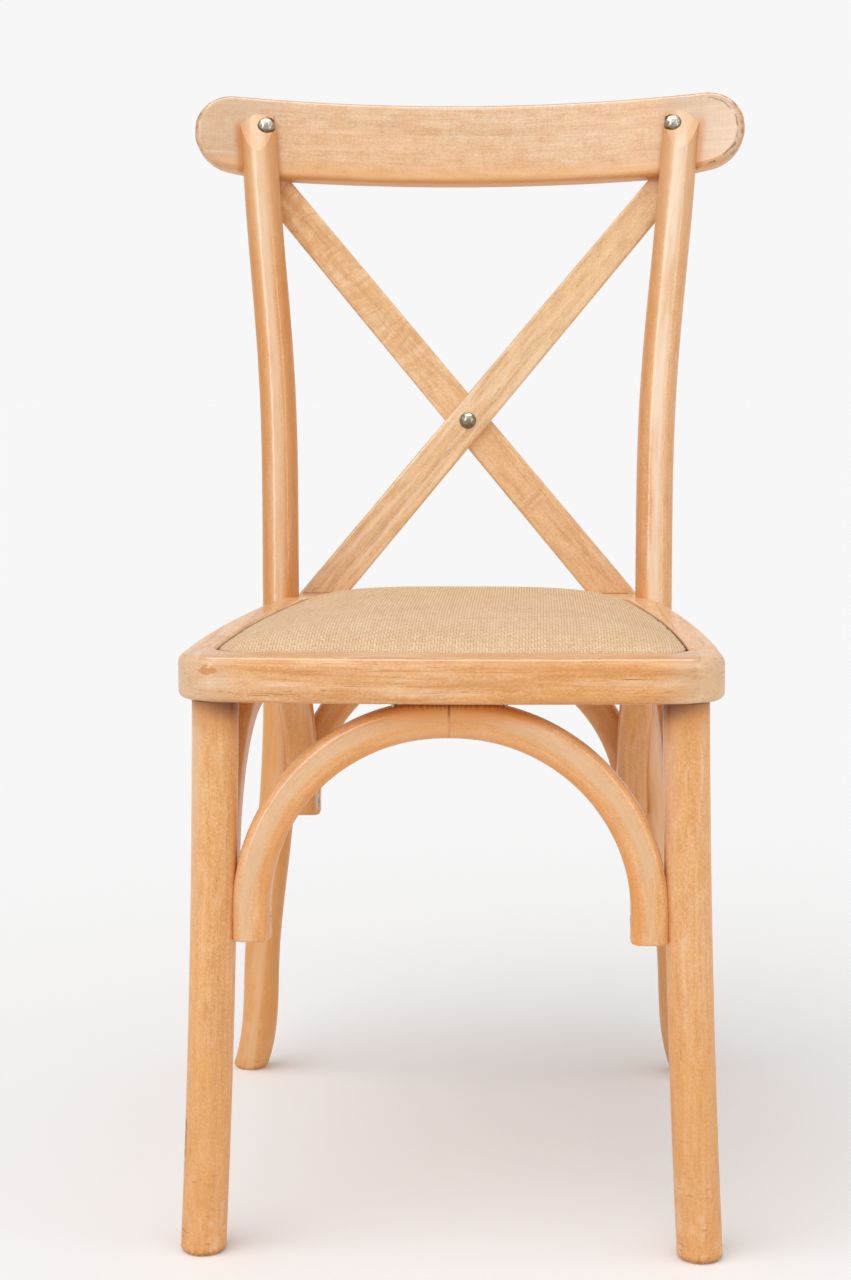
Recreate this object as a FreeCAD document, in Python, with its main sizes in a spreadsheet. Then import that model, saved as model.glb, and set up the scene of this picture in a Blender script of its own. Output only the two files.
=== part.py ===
import FreeCAD, Part
import math
import os
import re
import Sketcher

# A cross back dining chair in solid wood, in millimetres. The floor is z = 0, the sitter
# faces -Y, +X is to the right seen from the front, and the origin is on the floor below
# the middle of the chair.

Vector = FreeCAD.Vector
Rotation = FreeCAD.Rotation
Placement = FreeCAD.Placement
UP = Vector(0, 0, 1)
ALONG_X = Vector(1, 0, 0)

SIZES = {
    # seat ring, seen from above: four gently bowed edges and rounded corners
    "seat_height": 445,
    "ring_thickness": 33,
    "ring_front": 272.4,
    "ring_front_radius": 1975,
    "ring_half_width": 197,
    "ring_widest_inset": 24,
    "ring_side_radius": 2520,
    "ring_back": 191.6,
    "ring_back_radius": 1855,
    "ring_front_corner": 36,
    "ring_back_corner": 30,
    "ring_top_round": 8,
    "ring_under_round": 5,
    "front_border": 35,
    "side_border": 25.2,
    "back_border": 33,
    "opening_front_radius": 9000,
    "opening_side_radius": 2167,
    "opening_back_radius": 1700,
    "opening_front_corner": 28,
    "opening_back_corner": 30,
    "opening_round": 3.5,
    "ledge_width": 12,
    "ledge_depth": 15,
    "front_seam_inset": 19,
    "front_rail_depth": 29,
    "back_seam_inset": 23.2,
    "back_rail_depth": 35,
    "dowel_diameter": 8,
    "dowel_length": 30,
    "front_dowel_inset": 15,
    "front_dowel_drop": 24,
    "back_dowel_inset": 11,
    "back_dowel_drop": 17,
    # drop-in seat: board, domed padding and woven mat
    "seat_gap": 1.5,
    "mat_thickness": 1.2,
    "board_thickness": 9,
    "mat_edge_drop": 2,
    "mat_lift": 1,
    "dome_edge_inset": 10,
    "dome_edge_rise": 4.5,
    "dome_shoulder_inset": 30,
    "dome_shoulder_rise": 10.5,
    "dome_middle_half": 106.8,
    "dome_middle_rise": 16.4,
    "dome_crown_half": 61.8,
    "dome_crown_rise": 20.5,
    # front legs, bent a little outwards towards the floor
    "leg_diameter": 33.6,
    "leg_inset": 28,
    "leg_side_inset": 28.4,
    "leg_splay": 14.4,
    "leg_bow": 2.2,
    "foot_chamfer": 2.5,
    "foot_chamfer_height": 3.5,
    "tenon_diameter": 18,
    "tenon_length": 20,
    # rear posts, one bent length from the floor to the crest rail
    "post_diameter": 32,
    "post_side_inset": 33.8,
    "post_back_inset": 45,
    "back_rise": 426,
    "lean_out": 0.10,
    "lean_out_rise": 155,
    "lean_out_softness": 60,
    "lean_back": 0.225,
    "lean_back_rise": 75,
    "lean_back_softness": 80,
    "splay_out": 0.1295,
    "splay_back": 0.18,
    "splay_drop": 145,
    "splay_softness": 57,
    "bevel_height": 36,
    "tip_thickness": 3,
    # crest rail, bent round the sitter's back
    "crest_half_length": 244,
    "crest_height": 72,
    "crest_thickness": 18,
    "crest_taper_radius": 400,
    "crest_taper_angle": 9,
    "crest_low_round": 33,
    "crest_bend_radius": 704,
    "crest_lean": 12.5,
    "crest_mid_drop": 27,
    "crest_set_back": 0.8,
    "crest_round": 5,
    "crest_back_round": 3,
    # crossed slats
    "slat_foot_width": 34,
    "slat_top_width": 28.5,
    "slat_thickness": 11,
    "slat_foot_drop": 31,
    "slat_foot_inset": 3.5,
    "slat_foot_offset": 8.6,
    "slat_top_drop": 6,
    "slat_top_stand": 6.6,
    "slat_top_overhang": 17.2,
    "front_slat_bow": 15,
    "rear_slat_bow": 6,
    "slat_round": 2.5,
    # bentwood arches under the seat
    "arch_section": 27,
    "arch_round": 8,
    "arch_end_round": 2,
    "arch_inset": 1.5,
    "arch_gap": 1,
    "leg_housing": 1.5,
    "post_housing": 4,
    "front_arch_side": 27.6,
    "front_arch_straight": 21.5,
    "back_arch_side": 20.2,
    "back_arch_straight": 10.5,
    "side_arch_straight": 23.5,
    "side_arch_bend": 124,
    # fastenings
    "dome_diameter": 16,
    "dome_height": 5.5,
    "bolt_diameter": 6,
    "bolt_overrun": 2,
    "bolt_drop": 11.4,
    "bolt_inset": 5.3,
    "bolt_seat": 4,
    "seat_clearance": 0.2,
    "cross_dome_diameter": 15,
    "cross_dome_height": 5,
    "cross_bolt_diameter": 5,
    "nut_width": 10,
    "nut_height": 5,
    "washer_diameter": 16,
    "washer_thickness": 1.5,
    "screw_diameter": 4.2,
    "screw_head_diameter": 8,
    "screw_head_height": 3,
    "leg_screw_length": 38,
    "front_arch_screw_up": 16,
    "back_arch_screw_up": 12,
    "back_arch_screw_in": 8,
    "side_arch_screw_up": 12,
    "side_arch_screw_in": 9,
    "seat_screw_length": 34,
    "seat_screw_sink": 4,
    "seat_screw_offset": 40,
    "board_screw_length": 22,
    "board_screw_sink": 3.5,
    "board_screw_front_x": 110,
    "board_screw_back_x": 90,
    "board_screw_inset": 8.6,
    "slat_screw_length": 18,
    "slat_screw_gap": 14,
    "slat_top_screw_drop": 14,
    "slat_foot_screw_rise": 10,
    "slat_foot_screw_in": 10,
    "post_screw_length": 38,
    "post_screw_drop": 17,
    "post_screw_turn": 35,
    "post_screw_sink": 2,
}



def leg_x(height):
    """The middle of a front leg at a height: straight at the ring, splayed below."""
    down = "((ring_under - %s) / ring_under)" % height
    return "(leg_top_x + leg_splay * %s - 4 * leg_bow * %s * (1 - %s))" % (down, down, down)


def after_bend(distance, softness):
    """Zero before a bend and the distance after it, with a soft change between."""
    return "(((%s) + sqrt((%s)^2 + %s^2)) / 2)" % (distance, distance, softness)


def post_x(height):
    """The middle of a rear post at a height, sideways."""
    return "(post_x + lean_out * %s + splay_out * %s)" % (
        after_bend("%s - lean_out_bend" % height, "lean_out_softness"),
        after_bend("splay_bend - %s" % height, "splay_softness"))


def post_y(height):
    """The middle of a rear post at a height, front to back."""
    return "(post_y + lean_back * %s + splay_back * %s)" % (
        after_bend("%s - lean_back_bend" % height, "lean_back_softness"),
        after_bend("splay_bend - %s" % height, "splay_softness"))


# Places and sizes that follow from the ones above
FITS = {
    "ring_under": "(seat_height - ring_thickness)",
    "ring_widest_y": "(ring_widest_inset - ring_front)",
    "opening_front": "(ring_front - front_border)",
    "opening_half_width": "(ring_half_width - side_border)",
    "opening_back": "(ring_back - back_border)",
    "ledge_z": "(seat_height - ledge_depth)",
    "board_top": "(ledge_z + board_thickness)",
    "mat_edge_z": "(seat_height - mat_edge_drop)",
    "seat_inset": "(seat_gap + mat_thickness)",
    "dome_middle_inset": "(opening_half_width - dome_middle_half)",
    "dome_crown_inset": "(opening_half_width - dome_crown_half)",
    "front_seam_x": "(ring_half_width - front_seam_inset)",
    "front_shoulder_y": "(opening_front - front_rail_depth)",
    "back_seam_x": "(post_x - back_seam_inset)",
    "back_shoulder_y": "(opening_back - back_rail_depth)",
    "front_dowel_y": "(opening_front - front_dowel_inset)",
    "front_dowel_z": "(seat_height - front_dowel_drop)",
    "back_dowel_y": "(opening_back + back_dowel_inset)",
    "back_dowel_z": "(seat_height - back_dowel_drop)",
    "leg_y": "(ring_front - leg_inset)",
    "leg_top_x": "(ring_half_width - leg_side_inset)",
    "post_x": "(ring_half_width - post_side_inset)",
    "post_y": "(ring_back - post_back_inset)",
    "post_top": "(seat_height + back_rise)",
    "lean_out_bend": "(seat_height + lean_out_rise)",
    "lean_back_bend": "(seat_height + lean_back_rise)",
    "splay_bend": "(seat_height - splay_drop)",
    "post_screw_z": "(seat_height - post_screw_drop)",
    "crest_front": "(crest_bend_radius - crest_thickness / 2)",
    "crest_back": "(crest_bend_radius + crest_thickness / 2)",
    "crest_slant": "tan(crest_lean)",
    "crest_taper_x": "(crest_half_length - crest_low_round"
                     " - (crest_taper_radius - crest_low_round) * sin(crest_taper_angle))",
    "crest_tip_z": "(crest_taper_radius - crest_height / 2"
                   " - (crest_taper_radius - crest_low_round) * cos(crest_taper_angle))",
    "crest_turn_x": "(crest_taper_x + crest_taper_radius * sin(crest_taper_angle))",
    "crest_turn_z": "(crest_taper_radius * (1 - cos(crest_taper_angle)) - crest_height / 2)",
    "crest_top_round": "(crest_height / 2 - crest_tip_z)",
    "crest_top_x": "(crest_half_length - crest_top_round)",
    "crest_mid_z": "(post_top - crest_mid_drop)",
    "slat_top_z": "(crest_mid_z - slat_top_drop)",
    "slat_foot_z": "(seat_height - slat_foot_drop)",
    "slat_foot_y": "(ring_back - slat_foot_inset)",
    "slat_top_y": "(crest_mid_y - crest_rear_fall + slat_top_stand)",
    "slat_top_reach": "(crest_bolt_x + slat_top_overhang)",
    "crest_rear_fall": "(crest_bend_radius - sqrt(crest_back^2 - slat_top_reach^2))",
    "slat_foot_reach": "(post_x - slat_foot_offset)",
    "slat_slope": "((slat_top_reach + slat_foot_reach) / (slat_top_z - slat_foot_z))",
    "slat_cross_z": "(slat_foot_z + slat_foot_reach / slat_slope)",
    "slat_top_screw_z": "(slat_top_z - slat_top_screw_drop)",
    "slat_foot_screw_z": "(slat_foot_z + slat_foot_screw_rise)",
    "arch_half": "(arch_section / 2)",
    "arch_top": "(ring_under - arch_half)",
    "front_arch_bend": "(leg_top_x - front_arch_side)",
    "front_arch_end_z": "(arch_top - front_arch_bend - front_arch_straight)",
    "front_arch_screw_z": "(front_arch_end_z + front_arch_screw_up)",
    "back_arch_y": "(ring_back - arch_half - arch_inset)",
    "back_arch_bend": "(post_x - back_arch_side)",
    "back_arch_end_z": "(arch_top - back_arch_bend - back_arch_straight)",
    "back_arch_screw_z": "(back_arch_end_z + back_arch_screw_up)",
    "side_arch_end_z": "(arch_top - side_arch_bend - side_arch_straight)",
    "side_arch_screw_z": "(side_arch_end_z + side_arch_screw_up)",
    "side_arch_back_y": "(back_arch_y - arch_half - arch_gap)",
    # fits to the bent legs and posts, at the height where each piece meets them
    "front_reach": "(%s - leg_diameter / 2 + leg_housing)" % leg_x("front_arch_end_z"),
    "back_reach": "(%s - post_diameter / 2 + post_housing)" % post_x("back_arch_end_z"),
    "side_leg_x": leg_x("side_arch_end_z"),
    "side_leg_gap": "(leg_diameter / 2 - leg_housing)",
    "side_arch_back_x": "(%s - post_diameter / 2 - arch_half + post_housing)" % (
        post_x("side_arch_end_z")),
    "side_span": "sqrt((side_leg_x - side_arch_back_x)^2 + (side_arch_back_y + leg_y)^2)",
    "side_half": "((side_span - side_leg_gap) / 2)",
    "crest_bolt_x": "(%s - bolt_inset)" % post_x("(post_top - bolt_drop)"),
    "crest_fall": "(crest_bend_radius - sqrt(crest_front^2 - crest_bolt_x^2))",
    "crest_bolt_up": "((post_top - bolt_drop - crest_mid_z) / cos(crest_lean)"
                     " - crest_fall * crest_slant)",
    "crest_mid_y": "(%s + crest_fall * cos(crest_lean) - crest_bolt_up * sin(crest_lean)"
                   " + crest_set_back)" % post_y("(post_top - bolt_drop)"),
}

doc = FreeCAD.newDocument("CrossBackChair")
sheet = doc.addObject("Spreadsheet::Sheet", "Sizes")
cells = list(SIZES.items()) + [(name, "=" + text) for name, text in FITS.items()]
for row, (size_name, content) in enumerate(cells, start=1):
    sheet.set("A%d" % row, size_name)
    sheet.setAlias("B%d" % row, size_name)
for row, (size_name, content) in enumerate(cells, start=1):
    sheet.set("B%d" % row, str(content))
doc.recompute()

WORD = re.compile(r"\b(?!sqrt\b)[a-z][a-z_]+")


def bound(text):
    """The expression, with each name read from the sheet."""
    return WORD.sub(lambda word: "Sizes." + word[0], text)


def number(text):
    """The value of an expression now."""
    return float(sheet.evalExpression(bound(text)))


# Sketching

def add_body(name):
    body = doc.addObject("PartDesign::Body", name)
    body.Label = name
    return body


def add_sketch(body, plane="XY_Plane", lift="0"):
    """A sketch on one of the body's own planes, moved along its normal."""
    sketch = body.newObject("Sketcher::SketchObject", body.Name + "_sketch")
    support = [item for item in body.Origin.OriginFeatures if item.Role == plane][0]
    sketch.AttachmentSupport = [(support, "")]
    sketch.MapMode = "FlatFace"
    sketch.AttachmentOffset = Placement(Vector(0, 0, number(lift)), Rotation())
    sketch.setExpression("AttachmentOffset.Base.z", bound(lift))
    return sketch


def fix(sketch, kind, places, size):
    """A dimension of the sketch that follows an expression."""
    index = sketch.addConstraint(Sketcher.Constraint(kind, *places, number(size)))
    sketch.setExpression("Constraints[%d]" % index, bound(size))


def fix_point(sketch, geometry, end, x, y):
    fix(sketch, "DistanceX", (-1, 1, geometry, end), x)
    fix(sketch, "DistanceY", (-1, 1, geometry, end), y)


def draw_circle(sketch, x, y, radius):
    centre = Vector(number(x), number(y), 0)
    circle = sketch.addGeometry(Part.Circle(centre, UP, number(radius)))
    fix_point(sketch, circle, 3, x, y)
    fix(sketch, "Radius", (circle,), radius)


def arc_of(centre, radius, first, last):
    """An arc, counter-clockwise, between the directions of two points."""
    angles = [math.atan2(p.y - centre.y, p.x - centre.x) for p in (first, last)]
    if angles[1] < angles[0]:
        angles[1] += 2 * math.pi
    return Part.ArcOfCircle(Part.Circle(centre, UP, radius), *angles)


def arc_between(start, end, radius, turn):
    """An arc that turns left (1) or right (-1) on its way from start to end."""
    chord = end - start
    reach = math.sqrt(radius ** 2 - (chord.Length / 2) ** 2)
    left = Vector(-chord.y, chord.x, 0).normalize()
    centre = (start + end) * 0.5 + left * (turn * reach)
    first, last = (start, end) if turn > 0 else (end, start)
    return arc_of(centre, radius, first, last)


def draw_chain(sketch, corners, closed=True):
    """Lines and arcs from corner to corner. A corner is (x, y), or (x, y, radius, turn)
    where an arc leaves it."""
    points = [Vector(number(corner[0]), number(corner[1]), 0) for corner in corners]
    count = len(corners) if closed else len(corners) - 1
    ends = []
    for i in range(count):
        start, end = points[i], points[(i + 1) % len(points)]
        if len(corners[i]) == 2:
            edge = sketch.addGeometry(Part.LineSegment(start, end))
            ends.append((edge, 1, 2))
            continue
        radius, turn = corners[i][2:]
        edge = sketch.addGeometry(arc_between(start, end, number(radius), turn))
        fix(sketch, "Radius", (edge,), radius)
        ends.append((edge, 1, 2) if turn > 0 else (edge, 2, 1))
    for i, (edge, first, last) in enumerate(ends):
        fix_point(sketch, edge, first, *corners[i][:2])
        if i + 1 < count or closed:
            after = ends[(i + 1) % count]
            place = (edge, last, after[0], after[1])
            sketch.addConstraint(Sketcher.Constraint("Coincident", *place))
        else:
            fix_point(sketch, edge, last, *corners[-1][:2])


def rounded_square(x, y, width, corner):
    """The corners of a square with rounded corners round the point x, y."""
    half = "(%s) / 2" % width
    flat = "((%s) / 2 - %s)" % (width, corner)
    ring = []
    for across, up in ((1, -1), (1, 1), (-1, 1), (-1, -1)):
        near = ("%s + %d * %s" % (x, across, flat), "%s + %d * %s" % (y, up, half))
        far = ("%s + %d * %s" % (x, across, half), "%s + %d * %s" % (y, up, flat))
        first, last = (near, far) if across * up < 0 else (far, near)
        ring += [first + (corner, 1), last]
    return ring


def bend_centre(one, two, corner, towards):
    """The centre of the rounding inside two large arcs, each (centre, radius)."""
    near, far = one[1] - corner, two[1] - corner
    apart = two[0] - one[0]
    along = (near ** 2 - far ** 2 + apart.Length ** 2) / (2 * apart.Length)
    off = math.sqrt(near ** 2 - along ** 2)
    unit = Vector(apart).normalize()
    across = Vector(-unit.y, unit.x, 0)
    options = [one[0] + unit * along + across * (off * way) for way in (1, -1)]
    return max(options, key=lambda point: point.dot(towards))


def draw_frame(sketch, edges, corners):
    """A closed outline of four bowed edges, front, right, back, left, and four rounded
    corners. Each edge is (centre x, centre y, radius)."""
    arcs = [(Vector(number(x), number(y), 0), number(radius)) for x, y, radius in edges]
    signs = [Vector(-1, -1, 0), Vector(1, -1, 0), Vector(1, 1, 0), Vector(-1, 1, 0)]
    roundings = [corners[0], corners[0], corners[1], corners[1]]
    bends = [bend_centre(arcs[i - 1], arcs[i], number(roundings[i]), signs[i])
             for i in range(4)]
    sides = []
    for i, (centre, radius) in enumerate(arcs):
        side = sketch.addGeometry(arc_of(centre, radius, bends[i], bends[(i + 1) % 4]))
        fix_point(sketch, side, 3, *edges[i][:2])
        fix(sketch, "Radius", (side,), edges[i][2])
        sides.append(side)
    for i, middle in enumerate(bends):
        starts = [middle + (middle - arcs[i - j][0]) for j in (1, 0)]
        bend = sketch.addGeometry(arc_of(middle, number(roundings[i]), *starts))
        fix(sketch, "Radius", (bend,), roundings[i])
        for one, two in (((sides[i - 1], 2), (bend, 1)), ((bend, 2), (sides[i], 1))):
            sketch.addConstraint(Sketcher.Constraint("Tangent", *one, *two))


def draw_outline(sketch):
    """The outside of the seat ring."""
    draw_frame(sketch, [
        ("0", "ring_front_radius - ring_front", "ring_front_radius"),
        ("ring_half_width - ring_side_radius", "ring_widest_y", "ring_side_radius"),
        ("0", "ring_back - ring_back_radius", "ring_back_radius"),
        ("ring_side_radius - ring_half_width", "ring_widest_y", "ring_side_radius")],
        ("ring_front_corner", "ring_back_corner"))


def draw_opening(sketch, inset, soften="0"):
    """The opening of the seat ring, or a loop that lies inset inside it. Its corners
    are rounder than the opening's by soften."""
    front = "(opening_front_radius - (%s))" % inset
    side = "(opening_side_radius - (%s))" % inset
    back = "(opening_back_radius - (%s))" % inset
    draw_frame(sketch, [
        ("0", "opening_front_radius - opening_front", front),
        ("opening_half_width - opening_side_radius", "-opening_front", side),
        ("0", "opening_back - opening_back_radius", back),
        ("opening_side_radius - opening_half_width", "-opening_front", side)],
        ("opening_front_corner + %s" % soften, "opening_back_corner + %s" % soften))


# Features and solids

def pad(body, sketch, length, both_ways=False):
    feature = body.newObject("PartDesign::Pad", body.Name + "_pad")
    feature.Profile = sketch
    feature.setExpression("Length", bound(length))
    feature.Midplane = both_ways
    return feature


def pocket(body, sketch, length, both_ways=False):
    feature = body.newObject("PartDesign::Pocket", body.Name + "_pocket")
    feature.Profile = sketch
    feature.setExpression("Length", bound(length))
    feature.Midplane = both_ways
    return feature


def loft(body, sketches):
    feature = body.newObject("PartDesign::AdditiveLoft", body.Name + "_loft")
    feature.Profile = sketches[0]
    feature.Sections = sketches[1:]
    return feature


def round_edges(body, radius, chosen):
    """Rounds the edges of the body's last feature that the test picks."""
    doc.recompute()
    base = body.Tip
    names = ["Edge%d" % (i + 1) for i, edge in enumerate(base.Shape.Edges) if chosen(edge)]
    feature = body.newObject("PartDesign::Fillet", body.Name + "_round")
    feature.Base = (base, names)
    feature.setExpression("Radius", bound(radius))
    return feature


def at_height(edge, height):
    return max(abs(edge.BoundBox.ZMin - height), abs(edge.BoundBox.ZMax - height)) < 0.01


def boolean(kind, name, base, tool):
    piece = doc.addObject("Part::" + kind, name)
    piece.Base = base
    piece.Tool = tool
    piece.Label = name
    return piece


def compound(name, items):
    group = doc.addObject("Part::Compound", name)
    group.Links = items
    group.Label = name
    return group


def cut(name, base, tools):
    """The base less all the tools, which may overlap each other."""
    tool = doc.addObject("Part::MultiFuse", name + "_tools")
    tool.Shapes = tools
    return boolean("Cut", name, base, tool)


def mirrored(name, source):
    """The same piece on the chair's left side."""
    twin = doc.addObject("Part::Mirroring", name)
    twin.Source = source
    twin.Normal = ALONG_X
    twin.Label = name
    return twin


twins = {}


def with_twins(items):
    """The items and their twins, each of which is made once."""
    for item in items:
        if item.Name not in twins:
            twins[item.Name] = mirrored(item.Name + "_left", item)
    return items + [twins[item.Name] for item in items]


def add_box(name, corner, lengths):
    block = doc.addObject("Part::Box", name)
    for prop, text in zip(("Length", "Width", "Height"), lengths):
        block.setExpression(prop, bound(text))
    for axis, text in zip("xyz", corner):
        block.setExpression("Placement.Base." + axis, bound(text))
    return block


def turned(base, direction):
    """The placement of something whose own +Z points in the direction."""
    return Placement(base, Rotation(UP, direction))


def point(x, y, z):
    return Vector(number(x), number(y), number(z))


def add_rod(name, diameter, length, placement):
    rod = doc.addObject("Part::Cylinder", name)
    rod.setExpression("Radius", bound("(%s) / 2" % diameter))
    rod.setExpression("Height", bound(length))
    rod.Placement = placement
    return rod


def add_fastener(name, head, shank, placement):
    """A turned screw or bolt with a domed head, (diameter, height), and a shank,
    (diameter, length). Its own +Z is the way in, from the underside of its head."""
    half_head, half_shank = "%s / 2" % head[0], "%s / 2" % shank[0]
    dome = "((%s)^2 + %s^2) / (2 * %s)" % (half_head, head[1], head[1])
    body = add_body(name)
    sketch = add_sketch(body, "XZ_Plane")
    draw_chain(sketch, [("0", shank[1]), ("0", "-" + head[1], dome, 1), (half_head, "0"),
                        (half_shank, "0"), (half_shank, shank[1])])
    feature = body.newObject("PartDesign::Revolution", name + "_turn")
    feature.Profile = sketch
    feature.ReferenceAxis = (sketch, ["V_Axis"])
    body.Placement = placement
    return body


def add_screw(name, length, placement, sink="0"):
    """A wood screw and, where its head is sunk, the bore above it."""
    screw = add_fastener(name, ("screw_head_diameter", "screw_head_height"),
                         ("screw_diameter", length), placement)
    if sink == "0":
        return [screw]
    back = Placement(Vector(), Rotation(ALONG_X, 180))
    bore = add_rod(name + "_bore", "screw_head_diameter + 2 * seat_clearance", sink,
                   placement * back)
    return [screw, bore]


# Seat ring: four rails, glued up and shaped as one frame

ring = add_body("seat_ring_blank")
outline = add_sketch(ring, lift="ring_under")
draw_outline(outline)
pad(ring, outline, "ring_thickness")
round_edges(ring, "ring_top_round", lambda edge: at_height(edge, number("seat_height")))
round_edges(ring, "ring_under_round", lambda edge: at_height(edge, number("ring_under")))
for lift, inset, soften, depth in (
        ("seat_height", "ledge_width", "-ledge_width / 2", "ring_thickness"),
        ("seat_height", "0", "0", "ledge_depth")):
    opening = add_sketch(ring, lift=lift)
    draw_opening(opening, inset, soften)
    pocket(ring, opening, depth)


def on_opening(edge):
    """True for the upper rim of the opening."""
    extent = edge.BoundBox
    return (at_height(edge, number("seat_height"))
            and max(extent.XMax, -extent.XMin) < number("opening_half_width") + 1
            and extent.YMin > -number("opening_front") - 1
            and extent.YMax < number("opening_back") + 1)


round_edges(ring, "opening_round", on_opening)

# The ring's outline with sharp edges, to which the slats are scribed
envelope = add_body("ring_envelope")
outline = add_sketch(envelope, lift="ring_under")
draw_outline(outline)
pad(envelope, outline, "ring_thickness")

# Drop-in seat: plywood board, domed padding and the woven mat over both

board = add_body("seat_board_blank")
board_outline = add_sketch(board, lift="ledge_z")
draw_opening(board_outline, "seat_inset", "-seat_inset")
pad(board, board_outline, "board_thickness")


def add_dome(name, under, rim, inset):
    """A pad with an upright edge from under to rim and a low crown over it."""
    body = add_body(name)
    edge = add_sketch(body, lift=under)
    draw_opening(edge, inset, "-" + inset)
    pad(body, edge, "%s - %s" % (rim, under))
    sections = []
    for further, rise in [("0", "0")] + [
            ("dome_%s_inset" % ring_name, "dome_%s_rise" % ring_name)
            for ring_name in ("edge", "shoulder", "middle", "crown")]:
        section = add_sketch(body, lift="%s + %s" % (rim, rise))
        draw_opening(section, "%s + %s" % (inset, further), "-" + inset)
        sections.append(section)
    loft(body, sections)
    return body


padding = add_dome("seat_padding", "board_top", "mat_edge_z - mat_thickness", "seat_inset")
mat = add_dome("mat_blank", "ledge_z + mat_lift", "mat_edge_z", "seat_gap")
rattan_sheet = cut("rattan_sheet", mat, [board, padding])

# Legs and posts: bent round lengths with a chamfered foot

def add_bent_length(name, stations, centre, diameter):
    """A round length through the middles that centre gives at each height."""
    body = add_body(name)
    foot = add_sketch(body)
    draw_circle(foot, *centre("0"), "%s / 2 - foot_chamfer" % diameter)
    sections = []
    for height in ["foot_chamfer_height"] + stations:
        section = add_sketch(body, lift=height)
        draw_circle(section, *centre(height), "%s / 2" % diameter)
        sections.append(section)
    loft(body, [foot, sections[0]]).Ruled = True
    loft(body, sections)
    return body


leg = add_bent_length(
    "leg_blank", ["(ring_under * %s)" % share for share in (0.33, 0.67, 1)],
    lambda height: (leg_x(height), "-leg_y"), "leg_diameter")
tenon = add_sketch(leg, lift="ring_under")
draw_circle(tenon, "leg_top_x", "-leg_y", "tenon_diameter / 2")
pad(leg, tenon, "tenon_length")

POST_STATIONS = (0.126, 0.253, 0.379, 0.511, 0.609, 0.712, 0.827, 0.918, 1)
post = add_bent_length(
    "post_blank", ["(post_top * %s)" % share for share in POST_STATIONS],
    lambda height: (post_x(height), post_y(height)), "post_diameter")

# Crest rail: a bent board with round ends, leaned back

crest = add_body("crest_blank")
band = add_sketch(crest, lift="-crest_height / 2")
SWEEP = "crest_half_length / crest_bend_radius"
CREST_DROP = "sqrt(1 - (%s)^2)" % SWEEP


def on_band(radius, side):
    """A corner of the band, square to its bend at the rail's end."""
    return ("%d * %s * %s" % (side, radius, SWEEP),
            "%s * %s - crest_bend_radius" % (radius, CREST_DROP))


draw_chain(band, [on_band("crest_front", -1) + ("crest_front", -1), on_band("crest_front", 1),
                  on_band("crest_back", 1) + ("crest_back", 1), on_band("crest_back", -1)])
pad(crest, band, "crest_height")
ends = add_sketch(crest, "XZ_Plane")
draw_chain(ends, [("-2 * crest_half_length", "-crest_height"),
                  ("2 * crest_half_length", "-crest_height"),
                  ("2 * crest_half_length", "crest_height"),
                  ("-2 * crest_half_length", "crest_height")])
draw_chain(ends, [("-crest_taper_x", "-crest_height / 2"),
                  ("crest_taper_x", "-crest_height / 2", "crest_taper_radius", 1),
                  ("crest_turn_x", "crest_turn_z", "crest_low_round", 1),
                  ("crest_half_length", "crest_tip_z", "crest_top_round", 1),
                  ("crest_top_x", "crest_height / 2"),
                  ("-crest_top_x", "crest_height / 2", "crest_top_round", 1),
                  ("-crest_half_length", "crest_tip_z", "crest_low_round", 1),
                  ("-crest_turn_x", "crest_turn_z", "crest_taper_radius", 1)])
pocket(crest, ends, "2 * crest_bend_radius", both_ways=True)


def crest_rim(radius):
    """Picks the rim of the rail's front or back face by its distance from the bend."""
    def chosen(edge):
        reach = [math.hypot(v.X, v.Y + number("crest_bend_radius")) for v in edge.Vertexes]
        return all(abs(r - number(radius)) < 0.01 for r in reach)
    return chosen


round_edges(crest, "crest_round", crest_rim("crest_front"))
round_edges(crest, "crest_back_round", crest_rim("crest_back"))
crest_place = Placement(point("0", "crest_mid_y", "crest_mid_z"),
                        Rotation(ALONG_X, -number("crest_lean")))
crest.Placement = crest_place


def on_crest(reach):
    """A point on the crest rail's bolt line, at a distance from the bend's centre."""
    across = number("crest_bolt_x / crest_bend_radius")
    return Vector(across * reach, math.sqrt(1 - across ** 2) * reach
                  - number("crest_bend_radius"), number("crest_bolt_up"))


# The top of each post lies in front of the rail and is bevelled to a thin tip
face_point = crest_place.multVec(on_crest(number("crest_front")))
tip_y = "%s + (post_top - %s) * crest_slant - tip_thickness" % (face_point.y, face_point.z)
bevel_foot = "(post_top - bevel_height)"
bevel = add_sketch(post, "YZ_Plane", post_x("post_top"))
draw_chain(bevel, [
    ("%s - post_diameter / 2" % post_y(bevel_foot), bevel_foot), (tip_y, "post_top"),
    (tip_y, "post_top + post_diameter"),
    ("%s - post_diameter" % post_y(bevel_foot), "post_top + post_diameter"),
    ("%s - post_diameter" % post_y(bevel_foot), bevel_foot)])
pocket(post, bevel, "3 * post_diameter", both_ways=True)

# Crossed slats: bowed strips, one housed over the other


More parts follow.
